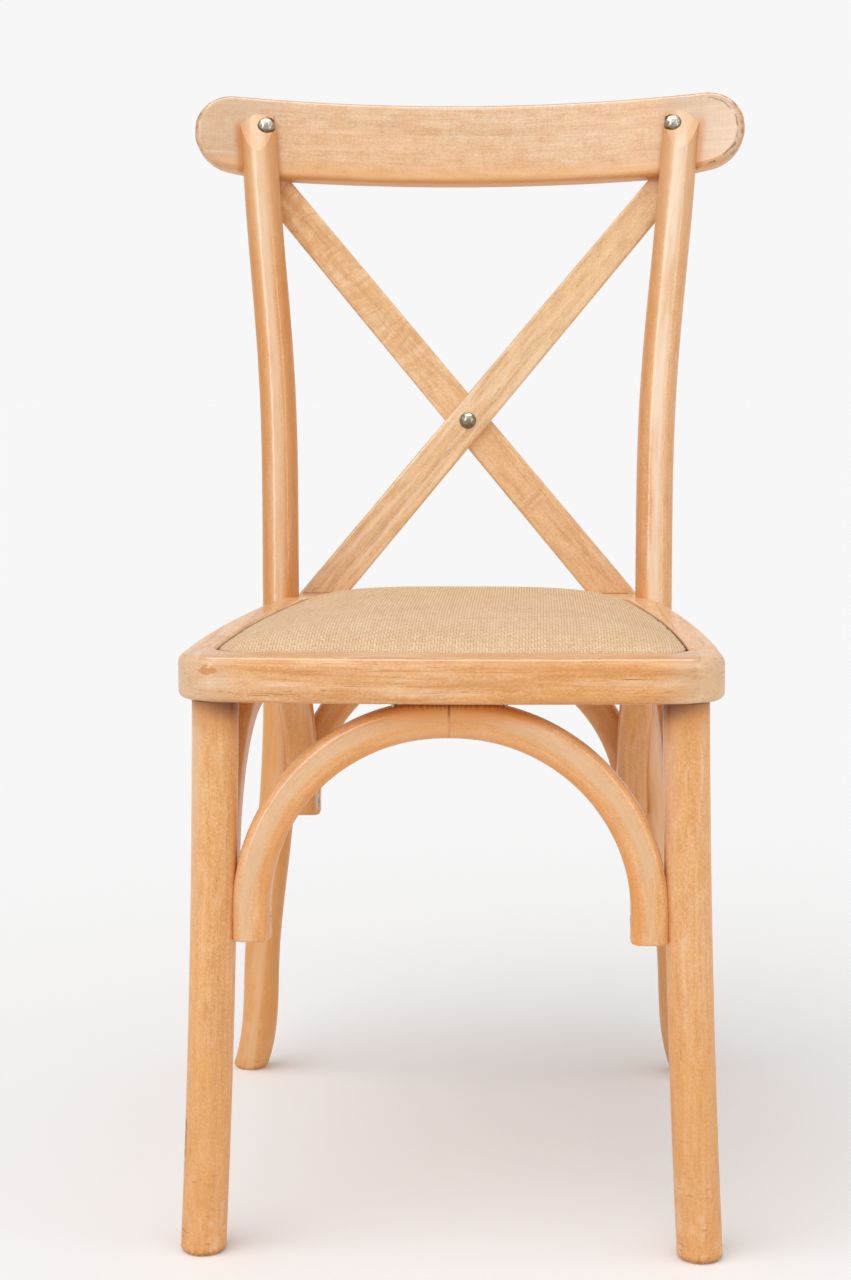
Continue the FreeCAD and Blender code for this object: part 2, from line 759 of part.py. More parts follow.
def add_slat(name, bow, slope):
    """A strip that leans sideways by slope and bows towards the sitter."""
    body = add_body(name)
    half = "slat_thickness / 2"
    chord = "((slat_top_z - slat_foot_z)^2 + (slat_top_y - slat_foot_y)^2)"
    radius = "(%s / 4 + %s^2) / (2 * %s)" % (chord, bow, bow)
    side = add_sketch(body, "YZ_Plane")
    draw_chain(side, [
        ("slat_foot_y - " + half, "slat_foot_z"),
        ("slat_foot_y + " + half, "slat_foot_z", radius, -1),
        ("slat_top_y + " + half, "slat_top_z"),
        ("slat_top_y - " + half, "slat_top_z", radius, 1)])
    pad(body, side, "3 * crest_half_length", both_ways=True)
    front = add_sketch(body, "XZ_Plane")
    low, high = "slat_foot_z - slat_foot_width", "slat_top_z + slat_foot_width"
    draw_chain(front, [("-2 * crest_half_length", low), ("2 * crest_half_length", low),
                       ("2 * crest_half_length", high), ("-2 * crest_half_length", high)])
    strip = []
    low_end, high_end = "slat_foot_z - slat_thickness", "slat_top_z + slat_thickness"
    for height, way, width in (
            (low_end, -1, "slat_foot_width"), (low_end, 1, "slat_foot_width"),
            (high_end, 1, "slat_top_width"), (high_end, -1, "slat_top_width")):
        middle = "%s * slat_slope * (%s - slat_cross_z)" % (slope, height)
        reach = "%d * %s / 2 * sqrt(1 + slat_slope^2)" % (way, width)
        strip.append(("%s + %s" % (middle, reach), height))
    draw_chain(front, strip)
    pocket(body, front, "4 * slat_top_y", both_ways=True)
    shortest = number("slat_top_z - slat_foot_z")
    round_edges(body, "slat_round", lambda edge: edge.Length > shortest)
    return body


front_slat = add_slat("front_slat_blank", "front_slat_bow", 1)
rear_slat = add_slat("rear_slat_blank", "rear_slat_bow", -1)


def on_slat(bow, height, forward, x="0"):
    """A point at a distance in front of a slat's middle, and the forward normal."""
    rise = number("slat_top_z - slat_foot_z")
    run = number("slat_top_y - slat_foot_y")
    chord = math.hypot(rise, run)
    radius = (chord ** 2 / 4 + number(bow) ** 2) / (2 * number(bow))
    middle = point("0", "(slat_foot_y + slat_top_y) / 2", "(slat_foot_z + slat_top_z) / 2")
    centre = middle + Vector(0, rise, -run) * ((radius - number(bow)) / chord)
    up = number(height) - centre.z
    normal = Vector(0, -math.sqrt(radius ** 2 - up ** 2), up) * (1 / radius)
    place = centre + normal * (radius + number(forward))
    return Vector(number(x), place.y, place.z), normal


# Bentwood arches, each of two halves that meet under the middle of the ring

def add_arch_half(name, reach, end, bend, placement):
    """Half an arch. Its seam is at its own x = 0 and its foot at x = reach."""
    body = add_body(name)
    foot = "(%s - arch_half)" % reach
    path = add_sketch(body, "XZ_Plane")
    draw_chain(path, [(foot, end), (foot, "arch_top - " + bend, bend, 1),
                      ("%s - %s" % (foot, bend), "arch_top"), ("0", "arch_top")],
               closed=False)
    section = add_sketch(body, lift=end)
    draw_chain(section, rounded_square(foot, "0", "arch_section", "arch_round"))
    pipe = body.newObject("PartDesign::AdditivePipe", name + "_pipe")
    pipe.Profile = section
    pipe.Spine = (path, [])
    round_edges(body, "arch_end_round", lambda edge: at_height(edge, number(end)))
    body.Placement = placement
    return body


side_run = point("side_leg_x - side_arch_back_x", "side_arch_back_y + leg_y", "0")
side_run.normalize()
side_toe = math.degrees(math.atan2(side_run.x, side_run.y))
side_middle = (point("side_arch_back_x", "side_arch_back_y", "0")
               + Vector(side_run.x, -side_run.y, 0) * number("side_half"))
front_place = Placement(point("0", "-leg_y", "0"), Rotation())
back_place = Placement(point("0", "back_arch_y", "0"), Rotation())
side_back_place = Placement(side_middle, Rotation(UP, 90 + side_toe))
side_front_place = Placement(side_middle, Rotation(UP, side_toe - 90))

front_arch = add_arch_half("front_arch_blank", "front_reach", "front_arch_end_z",
                           "front_arch_bend", front_place)
back_arch = add_arch_half("back_arch_blank", "back_reach", "back_arch_end_z",
                          "back_arch_bend", back_place)
side_back_arch = add_arch_half("side_back_arch_blank", "side_half", "side_arch_end_z",
                               "side_arch_bend", side_back_place)
side_front_arch = add_arch_half("side_front_arch_blank", "side_half", "side_arch_end_z",
                                "side_arch_bend", side_front_place)

# Screws on the right side of the chair; each comes with its bore where it is sunk

TO_X = Rotation(UP, ALONG_X)


def inside(placement, x, y, z, turn=Rotation()):
    """A place given in an arch's own frame."""
    return placement * Placement(point(x, y, z), turn)


front_leg_screw = add_screw("front_leg_screw", "leg_screw_length", inside(
    front_place, "front_reach - arch_section", "0", "front_arch_screw_z", TO_X))
side_leg_screw = add_screw("side_leg_screw", "leg_screw_length", inside(
    side_front_place, "side_half - arch_section", "0", "side_arch_screw_z", TO_X))
back_post_screw = add_screw("back_post_screw", "leg_screw_length", inside(
    back_place, "back_reach - arch_section", "-back_arch_screw_in",
    "back_arch_screw_z", TO_X))
side_post_screw = add_screw("side_post_screw", "leg_screw_length", inside(
    side_back_place, "side_half - side_arch_screw_in", "arch_half",
    "side_arch_screw_z", Rotation(UP, Vector(0, -1, 0))))
seat_screws = []
SEAT_SCREW_Z = "ring_under - arch_section + seat_screw_sink"
for name, placement in (("front", front_place), ("back", back_place),
                        ("side_back", side_back_place), ("side_front", side_front_place)):
    seat_screws.append(add_screw(name + "_seat_screw", "seat_screw_length", inside(
        placement, "seat_screw_offset", "0", SEAT_SCREW_Z), "arch_section"))
board_screws = []
for name, x, y in (("front", "board_screw_front_x", "board_screw_inset - opening_front"),
                   ("back", "board_screw_back_x", "opening_back - board_screw_inset")):
    board_screws.append(add_screw(name + "_board_screw", "board_screw_length", Placement(
        point(x, y, "ring_under + board_screw_sink"), Rotation()), "ring_thickness"))

post_middle = point(post_x("post_screw_z"), post_y("post_screw_z"), "post_screw_z")
turn = math.radians(number("post_screw_turn"))
outward = Vector(math.cos(turn), math.sin(turn), 0)
post_screw = add_screw("post_screw", "post_screw_length", Placement(
    post_middle + outward * number("post_diameter / 2 - bolt_seat / 2"),
    Rotation(UP, outward * -1)), "post_diameter / 2")


def add_slat_screws(name, bow, slope):
    """Two screws at the top of a slat and two at its foot, in through its back."""
    rows = []
    for end, height, shift in (("top", "slat_top_screw_z", "0"),
                               ("foot", "slat_foot_screw_z", "slat_foot_screw_in")):
        middle = "slat_slope * (%s - slat_cross_z)" % height
        inward = 1 if end == "foot" else -1
        for way in (-1, 1):
            x = "%d * (%s + %d * %s + %d * slat_screw_gap / 2)" % (
                slope, middle, inward, shift, way)
            base, normal = on_slat(bow, height, "-slat_thickness / 2", x)
            label = "%s_%s_screw_%d" % (name, end, (way + 3) / 2)
            rows += add_screw(label, "slat_screw_length",
                              Placement(base, Rotation(UP, normal)))
    return rows[:2], rows[2:]


front_slat_top, front_slat_foot = add_slat_screws("front_slat", "front_slat_bow", 1)
rear_slat_top, rear_slat_foot = add_slat_screws("rear_slat", "rear_slat_bow", -1)

# Bolts, washers and nuts


def add_nut(name, diameter, placement):
    """A hexagon nut with a plain bore."""
    blank = doc.addObject("Part::Prism", name + "_blank")
    blank.Polygon = 6
    blank.setExpression("Circumradius", bound("nut_width / sqrt(3)"))
    blank.setExpression("Height", bound("nut_height"))
    blank.Placement = placement
    bore = add_rod(name + "_bore", diameter, "nut_height", placement)
    return boolean("Cut", name, blank, bore)


def add_washer(name, diameter, placement):
    blank = add_rod(name + "_blank", "washer_diameter", "washer_thickness", placement)
    bore = add_rod(name + "_bore", diameter, "washer_thickness", placement)
    return boolean("Cut", name, blank, bore)


bolt_axis = on_crest(1) - on_crest(0)
bolt_turn = Rotation(UP, bolt_axis)
seat_reach = number("crest_front - bolt_seat")
rear_face = number("crest_back")
stack = "washer_thickness + nut_height"
crest_bolt = add_fastener(
    "crest_bolt", ("dome_diameter", "dome_height"),
    ("bolt_diameter", "crest_thickness + bolt_seat + %s + bolt_overrun" % stack),
    crest_place * Placement(on_crest(seat_reach), bolt_turn))
bolt_recess = add_rod("bolt_recess", "dome_diameter + 2 * seat_clearance", "post_diameter",
                      crest_place * Placement(on_crest(seat_reach),
                                              Rotation(UP, bolt_axis * -1)))
crest_washer = add_washer("crest_washer", "bolt_diameter",
                          crest_place * Placement(on_crest(rear_face), bolt_turn))
crest_nut = add_nut("crest_nut", "bolt_diameter", crest_place * Placement(
    on_crest(rear_face + number("washer_thickness")), bolt_turn))

cross_front, forward = on_slat("front_slat_bow", "slat_cross_z", "slat_thickness / 2")
cross_back = on_slat("rear_slat_bow", "slat_cross_z", "-slat_thickness / 2")[0]
cross_grip = (cross_front - cross_back).dot(forward)
backward = Rotation(UP, forward * -1)
cross_bolt = add_fastener(
    "cross_bolt", ("cross_dome_diameter", "cross_dome_height"),
    ("cross_bolt_diameter", "%s + nut_height + bolt_overrun" % cross_grip),
    Placement(cross_front, backward))
cross_nut = add_nut("cross_nut", "cross_bolt_diameter",
                    Placement(cross_front - forward * cross_grip, backward))

# Dowels across the four joints of the ring

front_dowel = add_rod("front_dowel", "dowel_diameter", "dowel_length", Placement(
    point("front_seam_x - dowel_length / 2", "-front_dowel_y", "front_dowel_z"), TO_X))
back_dowel = add_rod("back_dowel", "dowel_diameter", "dowel_length", Placement(
    point("back_seam_x - dowel_length / 2", "back_dowel_y", "back_dowel_z"), TO_X))

# The finished pieces: every blank less what is let into it

slat_screws = front_slat_top + front_slat_foot + rear_slat_top + rear_slat_foot
all_seat_screws = [item for pair in seat_screws for item in pair]
all_board_screws = [item for pair in board_screws for item in pair]
through_ring = with_twins([leg, front_dowel, back_dowel] + all_seat_screws
                          + all_board_screws + post_screw) + front_slat_foot + rear_slat_foot
shaped_ring = cut("seat_ring_shaped", ring, through_ring)
wide = "(2 * ring_half_width)"
front_block = add_box("front_block", ("-front_seam_x", "-front_shoulder_y - " + wide, "0"),
                      ("2 * front_seam_x", wide, "2 * seat_height"))
back_block = add_box("back_block", ("-back_seam_x", "back_shoulder_y", "0"),
                     ("2 * back_seam_x", wide, "2 * seat_height"))
front_rail = boolean("Common", "seat_front_rail", shaped_ring, front_block)
back_rail = boolean("Common", "seat_rear_rail", shaped_ring, back_block)
side_rails = {}
for side, edge in (("right", "0"), ("left", "-" + wide)):
    block = add_box(side + "_block", (edge, "-" + wide, "0"),
                    (wide, "2 * " + wide, "2 * seat_height"))
    half_ring = boolean("Common", side + "_ring", shaped_ring, block)
    side_rails[side] = cut("seat_side_rail_" + side, half_ring, [front_block, back_block])

leg_right = cut("front_leg_right", leg, [front_arch, side_front_arch] + front_leg_screw
                + side_leg_screw)
post_right = cut("rear_post_right", post, [
    ring, crest, back_arch, side_back_arch, crest_bolt, bolt_recess]
    + post_screw + back_post_screw + side_post_screw)
crest_rail = cut("crest_rail", crest, with_twins([crest_bolt]) + front_slat_top
                 + rear_slat_top)
cross_front_slat = cut("cross_slat_front", front_slat, [envelope, crest, cross_bolt]
                       + front_slat_top + front_slat_foot)
cross_rear_slat = cut("cross_slat_rear", rear_slat, [envelope, crest, front_slat, cross_bolt]
                      + rear_slat_top + rear_slat_foot)
front_arch_right = cut("front_arch_right", front_arch, front_leg_screw + seat_screws[0])
rear_arch_right = cut("rear_arch_right", back_arch, back_post_screw + seat_screws[1])
right_arch_rear = cut("right_arch_rear", side_back_arch, side_post_screw + seat_screws[2])
right_arch_front = cut("right_arch_front", side_front_arch, side_leg_screw + seat_screws[3])
seat_board = cut("seat_board", board, with_twins(all_board_screws))

nodes = {
    "seat_front_rail": front_rail,
    "seat_rear_rail": back_rail,
    "seat_side_rail_right": side_rails["right"],
    "seat_side_rail_left": side_rails["left"],
    "seat_board": seat_board,
    "seat_padding": padding,
    "rattan_sheet": rattan_sheet,
    "front_leg_right": leg_right,
    "front_leg_left": mirrored("front_leg_left", leg_right),
    "rear_post_right": post_right,
    "rear_post_left": mirrored("rear_post_left", post_right),
    "crest_rail": crest_rail,
    "cross_slat_front": cross_front_slat,
    "cross_slat_rear": cross_rear_slat,
    "front_arch_right": front_arch_right,
    "front_arch_left": mirrored("front_arch_left", front_arch_right),
    "rear_arch_right": rear_arch_right,
    "rear_arch_left": mirrored("rear_arch_left", rear_arch_right),
    "right_arch_front": right_arch_front,
    "left_arch_front": mirrored("left_arch_front", right_arch_front),
    "right_arch_rear": right_arch_rear,
    "left_arch_rear": mirrored("left_arch_rear", right_arch_rear),
    "corner_dowels": compound("corner_dowels", with_twins([front_dowel, back_dowel])),
    "crest_bolts": compound("crest_bolts", with_twins([crest_bolt])),
    "crest_washers": compound("crest_washers", with_twins([crest_washer])),
    "crest_nuts": compound("crest_nuts", with_twins([crest_nut])),
    "cross_bolt": cross_bolt,
    "cross_nut": cross_nut,
    "post_screws": compound("post_screws", with_twins(post_screw[:1])),
    "arch_leg_screws": compound("arch_leg_screws", with_twins(
        front_leg_screw + side_leg_screw + back_post_screw + side_post_screw)),
    "arch_seat_screws": compound("arch_seat_screws", with_twins(
        [pair[0] for pair in seat_screws])),
    "board_screws": compound("board_screws", with_twins([pair[0] for pair in board_screws])),
    "slat_screws": compound("slat_screws", slat_screws),
}

doc.recompute()
for item in doc.Objects:
    if "Invalid" in item.State or "Error" in item.State:
        raise RuntimeError("%s could not be made" % item.Label)

os.makedirs("parts", exist_ok=True)
for name, item in nodes.items():
    if item.Shape.isNull() or not item.Shape.isValid() or not item.Shape.Solids:
        raise RuntimeError("%s is not a sound solid" % name)
    item.Shape.exportStep("parts/%s.step" % name)
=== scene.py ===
import math
import random

import bmesh
import bpy
from bpy.props import FloatProperty, FloatVectorProperty, IntProperty, PointerProperty
from mathutils import Matrix, Vector
from mathutils.bvhtree import BVHTree
from mathutils.geometry import convex_hull_2d


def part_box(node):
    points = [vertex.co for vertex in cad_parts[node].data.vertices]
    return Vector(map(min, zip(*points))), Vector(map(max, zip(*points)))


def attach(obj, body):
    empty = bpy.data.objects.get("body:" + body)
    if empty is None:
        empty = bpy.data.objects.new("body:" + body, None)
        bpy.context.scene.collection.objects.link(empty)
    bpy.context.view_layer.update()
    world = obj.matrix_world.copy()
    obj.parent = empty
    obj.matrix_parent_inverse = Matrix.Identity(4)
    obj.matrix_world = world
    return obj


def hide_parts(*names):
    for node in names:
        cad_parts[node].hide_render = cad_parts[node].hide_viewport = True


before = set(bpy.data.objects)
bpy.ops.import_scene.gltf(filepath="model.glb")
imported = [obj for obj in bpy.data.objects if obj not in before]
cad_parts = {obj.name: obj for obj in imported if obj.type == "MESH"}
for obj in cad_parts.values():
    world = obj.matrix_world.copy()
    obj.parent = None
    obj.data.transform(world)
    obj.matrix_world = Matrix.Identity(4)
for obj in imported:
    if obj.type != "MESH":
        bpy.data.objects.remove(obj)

bl_info = {
    "name": "Cross Back Chair",
    "version": (1, 0, 0),
    "blender": (4, 5, 0),
    "location": "View3D > Sidebar > Chair",
    "description": "Finishes a cross back chair: worn honey wood, woven seat, steel bolts",
    "category": "Object",
}

MM = 0.001

# The chair's own lines, which the grain follows: the same values as the model's, in metres
SEAT_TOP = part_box("seat_front_rail")[1][2]
RING_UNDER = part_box("seat_front_rail")[0][2]
LEG_TOP_X, LEG_SPLAY, LEG_BOW, LEG_Y = 0.1686, 0.0144, 0.0022, -0.2444
POST_X, POST_Y = 0.1632, 0.1466
# A post's bends: its lean past each, the bend's height, up or down from it, its softness
POST_BENDS_X = ((0.10, SEAT_TOP + 0.155, 1, 0.060), (0.1295, SEAT_TOP - 0.145, -1, 0.057))
POST_BENDS_Y = ((0.225, SEAT_TOP + 0.075, 1, 0.080), (0.18, SEAT_TOP - 0.145, -1, 0.057))
CREST_RADIUS = 0.704
CREST_LEAN = math.radians(12.5)
CREST_MIDDLE = Vector((0, 0.25639, 0.844))
CREST_HALF, CREST_HALF_HEIGHT = 0.244, 0.037
CREST_ROUND = 0.036
SLAT_SLOPE = 0.84
SLAT_CROSS_Z = 0.598
ARCH_TOP = RING_UNDER - 0.0135
FRONT_ARCH = {"bend": 0.141, "foot": 0.1438}
BACK_ARCH = {"bend": 0.143, "foot": 0.1466}
SIDE_ARCH = {"bend": 0.124, "foot": 0.1825}
SIDE_ARCH_MIDDLE = -0.0335


def linear(red, green, blue):
    """A colour as it looks on screen, 0 to 255, in the renderer's own terms."""
    return tuple(((c / 255 + 0.055) / 1.055) ** 2.4 if c > 10 else c / 3294
                 for c in (red, green, blue))


# Settings that a user would change

def colour_setting(name, description, *screen):
    """A colour, given as it looks on screen."""
    return FloatVectorProperty(name=name, description=description, default=linear(*screen),
                               subtype="COLOR", min=0, max=1)


class ChairWood(bpy.types.PropertyGroup):
    """Colours and wear of the lacquered wood, and the colours of the shade and highlights
    painted on it.
    """
    gold: colour_setting("Gold", "The lacquered wood", 231, 167, 98)
    sand: colour_setting("Sand", "Wood that has paled", 238, 202, 164)
    straw: colour_setting("Straw", "Pale, yellower slats", 238, 202, 154)
    # Honey is painted shade on the arches: at their tops, on their inner sides and under the
    # ring.
    honey: colour_setting("Honey", "The shaded tops of the arches", 228, 146, 64)
    # Amber is darker grain, and also painted shade under the ring, beside the posts, along
    # edges and over the inner arches.
    amber_and_shade: colour_setting("Amber", "Darker streaks along the grain", 202, 132, 66)
    umber: colour_setting("Umber", "Greyer, weathered streaks", 188, 142, 98)
    # Ash is greyer wood, and also the painted highlight down the posts and along the arches.
    ash_and_highlight: colour_setting("Ash", "The greyer crest rail and worn places", 226, 190, 152)
    haze: colour_setting("Haze", "Greyish ends of the crest and corners", 200, 174, 148)
    # Cream is pale wood, and also the painted highlight down the legs' left sides and the
    # posts' fronts.
    cream: colour_setting("Cream", "Pale streaks and rubbed places", 246, 222, 196)
    # Pore is pores, scratches and dirt, and also painted shade on the ring's inner wall, on
    # the legs under the ring and at the arches' tops.
    pore_and_shade: colour_setting("Pore", "Pores, scratches, dirt and deep shade", 112, 58, 18)
    relief: FloatProperty(name="Grain relief", description="Depth of the open grain",
                          default=0.00012, min=0, max=0.002, unit="LENGTH")
    gloss: FloatProperty(name="Lacquer", description="How much lacquer is left",
                         default=0.3, min=0, max=1, subtype="FACTOR")


class ChairSeat(bpy.types.PropertyGroup):
    """Sizes and colours of the woven seat."""
    pitch: FloatProperty(name="Weave pitch", description="From one strand to the next",
                         default=0.0022, min=0.0015, max=0.01, unit="LENGTH")
    relief: FloatProperty(name="Weave relief", description="Height of a strand's crossing",
                          default=0.00035, min=0, max=0.001, unit="LENGTH")
    cream: colour_setting("Cream", "The palest strands", 240, 208, 168)
    sand: colour_setting("Sand", "The darkest strands", 222, 180, 132)
    # Gap is painted shade in the crevices between strands, and also the colour of fine dark
    # fibres.
    gap: colour_setting("Gap", "Between the strands", 150, 104, 66)
    # Edge is painted shade where the weave turns down under the ring's edge.
    edge: colour_setting("Edge", "Where the weave is tucked in", 112, 70, 40)
    pad: colour_setting("Padding", "The foam under the weave", 226, 212, 182)


class ChairSteel(bpy.types.PropertyGroup):
    """Colours and sizes of the bolts and screws."""
    zinc: colour_setting("Zinc", "Plated bolt heads", 160, 155, 140)
    tarnish: colour_setting("Tarnish", "Spots in the plating", 104, 100, 84)
    dark: colour_setting("Dark steel", "The bolt where the slats cross", 138, 134, 120)
    screw: colour_setting("Screw", "Wood screws", 196, 190, 176)
    dents: IntProperty(name="Dents", description="Hammered flats on a bolt head",
                       default=36, min=0, max=200)
    dent_depth: FloatProperty(name="Dent depth", description="How deep a hammered flat is",
                              default=0.00022, min=0, max=0.001, unit="LENGTH")


class ChairStage(bpy.types.PropertyGroup):
    """The floor, the light and the camera."""
    floor: colour_setting("Floor", "The floor and backdrop", 247, 247, 247)
    sky: FloatProperty(name="Sky", description="Strength of the even light",
                       default=0.537, min=0, max=2)
    key: FloatProperty(name="Key", description="Strength of the key light",
                       default=1.389, min=0, max=10)
    fill: FloatProperty(name="Fill", description="Strength of the fill light",
                        default=0.72, min=0, max=10)
    sheen: FloatProperty(name="Sheen", description="Brightness of the softboxes, which show"
                         " only as a sheen on lacquer and steel", default=7, min=0, max=50)
    place: FloatVectorProperty(name="Camera", description="Place of the camera",
                               default=(0.0623, -1.8848, 0.6572), subtype="TRANSLATION",
                               unit="LENGTH")
    turn: FloatVectorProperty(name="Turn", description="Yaw, pitch and roll of the camera",
                              default=(-0.0484, 0.1225, -0.0027), subtype="EULER")
    lens: FloatProperty(name="Lens", description="Focal length on a frame 36 mm high",
                        default=65.25, min=10, max=200, unit="CAMERA")


# Materials: numbers over a surface are written as sums

def adds_node(operation, reflected=False):
    """A method of Value that adds one Math node."""
    def method(self, *others):
        values = (*others, self) if reflected else (self, *others)
        return self.finish.math(operation, *values)
    return method


class Value:
    """A number that changes over a surface; working with it adds Math nodes."""

    def __init__(self, finish, socket):
        self.finish, self.socket = finish, socket

    __add__ = __radd__ = adds_node("ADD")
    __sub__ = adds_node("SUBTRACT")
    __rsub__ = adds_node("SUBTRACT", reflected=True)
    __mul__ = __rmul__ = adds_node("MULTIPLY")
    __truediv__ = adds_node("DIVIDE")
    __pow__ = adds_node("POWER")
    __abs__ = adds_node("ABSOLUTE")
    floor = adds_node("FLOOR")
    above = adds_node("GREATER_THAN")    # one above the other number, zero elsewhere
    least = adds_node("MAXIMUM")         # the number, but no less than the other
    most = adds_node("MINIMUM")          # the number, but no more than the other

    def rise(self, low, high):
        """Zero up to low, one past high, and a smooth step between."""
        node = self.finish.node("ShaderNodeMapRange", {"interpolation_type": "SMOOTHSTEP"},
                                {0: self, 1: low, 2: high, 3: 0.0, 4: 1.0})
        return Value(self.finish, node.outputs[0])

    def wave(self):
        """A sine of the number, from zero to one."""
        return self.finish.math("SINE", self) * 0.5 + 0.5


class Nodes:
    """A node tree, and the one way in which nodes are added to it."""

    def __init__(self, tree):
        self.tree = tree

    def node(self, kind, settings=None, sockets=None):
        """A node of a kind, with its settings first and then its sockets' values or links."""
        node = self.tree.nodes.new(kind)
        for name, setting in (settings or {}).items():
            setattr(node, name, setting)
        for key, value in (sockets or {}).items():
            self.feed(node.inputs[key], value)
        return node

    def feed(self, socket, value):
        if isinstance(value, Value):
            value = value.socket
        if isinstance(value, bpy.types.NodeSocket):
            self.tree.links.new(value, socket)
        else:
            socket.default_value = value

    def math(self, operation, *values):
        node = self.node("ShaderNodeMath", {"operation": operation}, dict(enumerate(values)))
        return Value(self, node.outputs[0])


class Finish(Nodes):
    """A material that is built node by node on Object coordinates."""

    def __init__(self, name):
        self.material = bpy.data.materials.new(name)
        self.material.use_nodes = True
        super().__init__(self.material.node_tree)
        self.shader = self.tree.nodes["Principled BSDF"]
        self.x, self.y, self.z = self.split(self.node("ShaderNodeTexCoord").outputs["Object"])

    def split(self, vector):
        node = self.node("ShaderNodeSeparateXYZ", sockets={0: vector})
        return [Value(self, output) for output in node.outputs]

    def join(self, x, y, z):
        return self.node("ShaderNodeCombineXYZ", sockets={0: x, 1: y, 2: z}).outputs[0]

    def noise(self, x, y, z, detail=2.0, roughness=0.5):
        node = self.node("ShaderNodeTexNoise", {"noise_dimensions": "3D"}, {
            "Vector": self.join(x, y, z), "Scale": 1.0, "Detail": detail,
            "Roughness": roughness})
        return Value(self, node.outputs["Fac"])

    def specks(self, fineness, detail):
        """Noise that is equally fine in all directions, on the piece's own place."""
        return self.noise(self.x * fineness, self.y * fineness, self.z * fineness,
                          detail=detail)

    def mix(self, share, first, second):
        """A colour between two others."""
        node = self.node("ShaderNodeMix", {"data_type": "RGBA"},
                         {0: share, 6: self.solid(first), 7: self.solid(second)})
        return node.outputs[2]

    def layer(self, colour, layers):
        """A colour with (share, colour) layers laid over it in turn."""
        for share, shade in layers:
            colour = self.mix(share, colour, shade)
        return colour

    def solid(self, colour):
        return colour if isinstance(colour, bpy.types.NodeSocket) else tuple(colour) + (1.0,)

    def bump(self, height, distance):
        node = self.node("ShaderNodeBump", sockets={"Height": height, "Distance": distance})
        self.feed(self.shader.inputs["Normal"], node.outputs[0])

    def surface(self, **sockets):
        for name, value in sockets.items():
            self.feed(self.shader.inputs[name.replace("_", " ")], value)


def put_on(finish, *nodes):
    """Gives the material to CAD nodes or new pieces."""
    for item in nodes:
        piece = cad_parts[item] if isinstance(item, str) else item
        if not piece.material_slots:
            piece.data.materials.append(finish.material)
        for slot in piece.material_slots:
            slot.material = finish.material


# Wood

# How fine each layer of the grain is: along the grain and across it, in waves to a metre
DRIFT, STREAK, MOTTLE = (6, 20), (3.2, 85), (55, 130)
FIBRE, FELT, DASH = (40, 560), (520, 620), (90, 1100)
HEART = (0.021, 0.034)    # how far the tree's heart lies from the piece, across and behind
RING_PITCH = 0.0046       # from one growth ring to the next
PORE_DARKNESS = 0.35


def add_wood(finish, along, across, depth, seed=0.0, pale=0.3, figure=0.5, marks=(),
             relief=None, dark=None, faded=None, bands=1.0, coarse=1.0):
    """Lacquered hardwood. The first three give the place in the piece along, across and
    through its grain, in metres. pale is how far it has gone to its faded colour, figure
    how strong its growth rings are, bands and dark its streaks' strength and colour, coarse
    how rough its fibres look, relief a height added to the grain's, and marks are
    (share, colour) layers over it."""
    wood = bpy.context.scene.chair_wood
    dark = dark or wood.amber_and_shade

    def grain(fineness, detail, roughness=0.5, sway=None):
        beside = across * fineness[1]
        return finish.noise(along * fineness[0] + seed,
                            beside if sway is None else beside + sway,
                            depth * fineness[1], detail=detail, roughness=roughness)

    drift = grain(DRIFT, 2)
    streak = grain(STREAK, 4, roughness=0.6, sway=drift * 3)
    mottle = grain(MOTTLE, 3)
    fibre = grain(FIBRE, 3, roughness=0.65)
    felt = grain(FELT, 2)
    from_heart = ((across + HEART[0]) ** 2 + (depth + HEART[1]) ** 2) ** 0.5 + drift * 0.012
    rings = (from_heart * (2 * math.pi / RING_PITCH) + streak * 4).wave() ** 3
    pores = grain(DASH, 1).rise(0.66, 0.74) * streak.rise(0.44, 0.62)
    fade = (drift - 0.5) * 0.9 + (streak - 0.5) * 0.5 + pale
    colour = finish.layer(finish.mix(fade, wood.gold, faded or wood.sand), [
        (streak.rise(0.48, 0.72) * (0.50 * bands), dark),
        ((1 - streak).rise(0.50, 0.74) * (0.36 * bands), wood.cream),
        (rings * drift.rise(0.35, 0.7) * (0.45 * figure), dark),
        (mottle.rise(0.48, 0.72) * 0.30, dark),
        ((1 - mottle).rise(0.52, 0.76) * 0.20, wood.cream),
        ((fibre - 0.5) * (1.3 * coarse), dark),
        ((0.5 - fibre) * (0.8 * coarse), wood.cream),
        ((felt - 0.5) * 1.3, dark),
        (0.5 - felt, wood.cream),
        (pores * PORE_DARKNESS, wood.pore_and_shade), *marks])
    finish.surface(Base_Color=colour, Roughness=(fibre - 0.5) * 0.25 + mottle * 0.1 + 0.38,
                   Coat_Weight=wood.gloss, Coat_Roughness=0.15, Coat_IOR=1.85,
                   Specular_IOR_Level=0.1)
    height = fibre * 0.6 + streak * 0.8 + mottle * 0.5 - pores * 0.8
    finish.bump(height if relief is None else height + relief, wood.relief)


def post_axis(finish, start, bends):
    """Where the middle of a rear post is at each height: past each bend it leans further,
    softly, as in the model."""
    middle = start
    for lean, bend, way, softness in bends:
        past = (finish.z - bend) * way
        middle = (past + (past ** 2 + softness ** 2) ** 0.5) * 0.5 * lean + middle
    return middle


# Each rail of the ring: its node, the way its grain runs, its seed and how far it has paled
RING_RAILS = (("seat_front_rail", "x", 2.3, 0.10), ("seat_rear_rail", "x", 6.3, 0.5),
              ("seat_side_rail_right", "y", 11.7, 0.35),
              ("seat_side_rail_left", "y", 16.7, 0.25))
CORNER_X, CORNER_Y = 0.140, -0.215    # where the ring's front corners begin
TORN_X, TORN_DROP = -0.172, 0.010     # the torn patch of the front rail, below its top


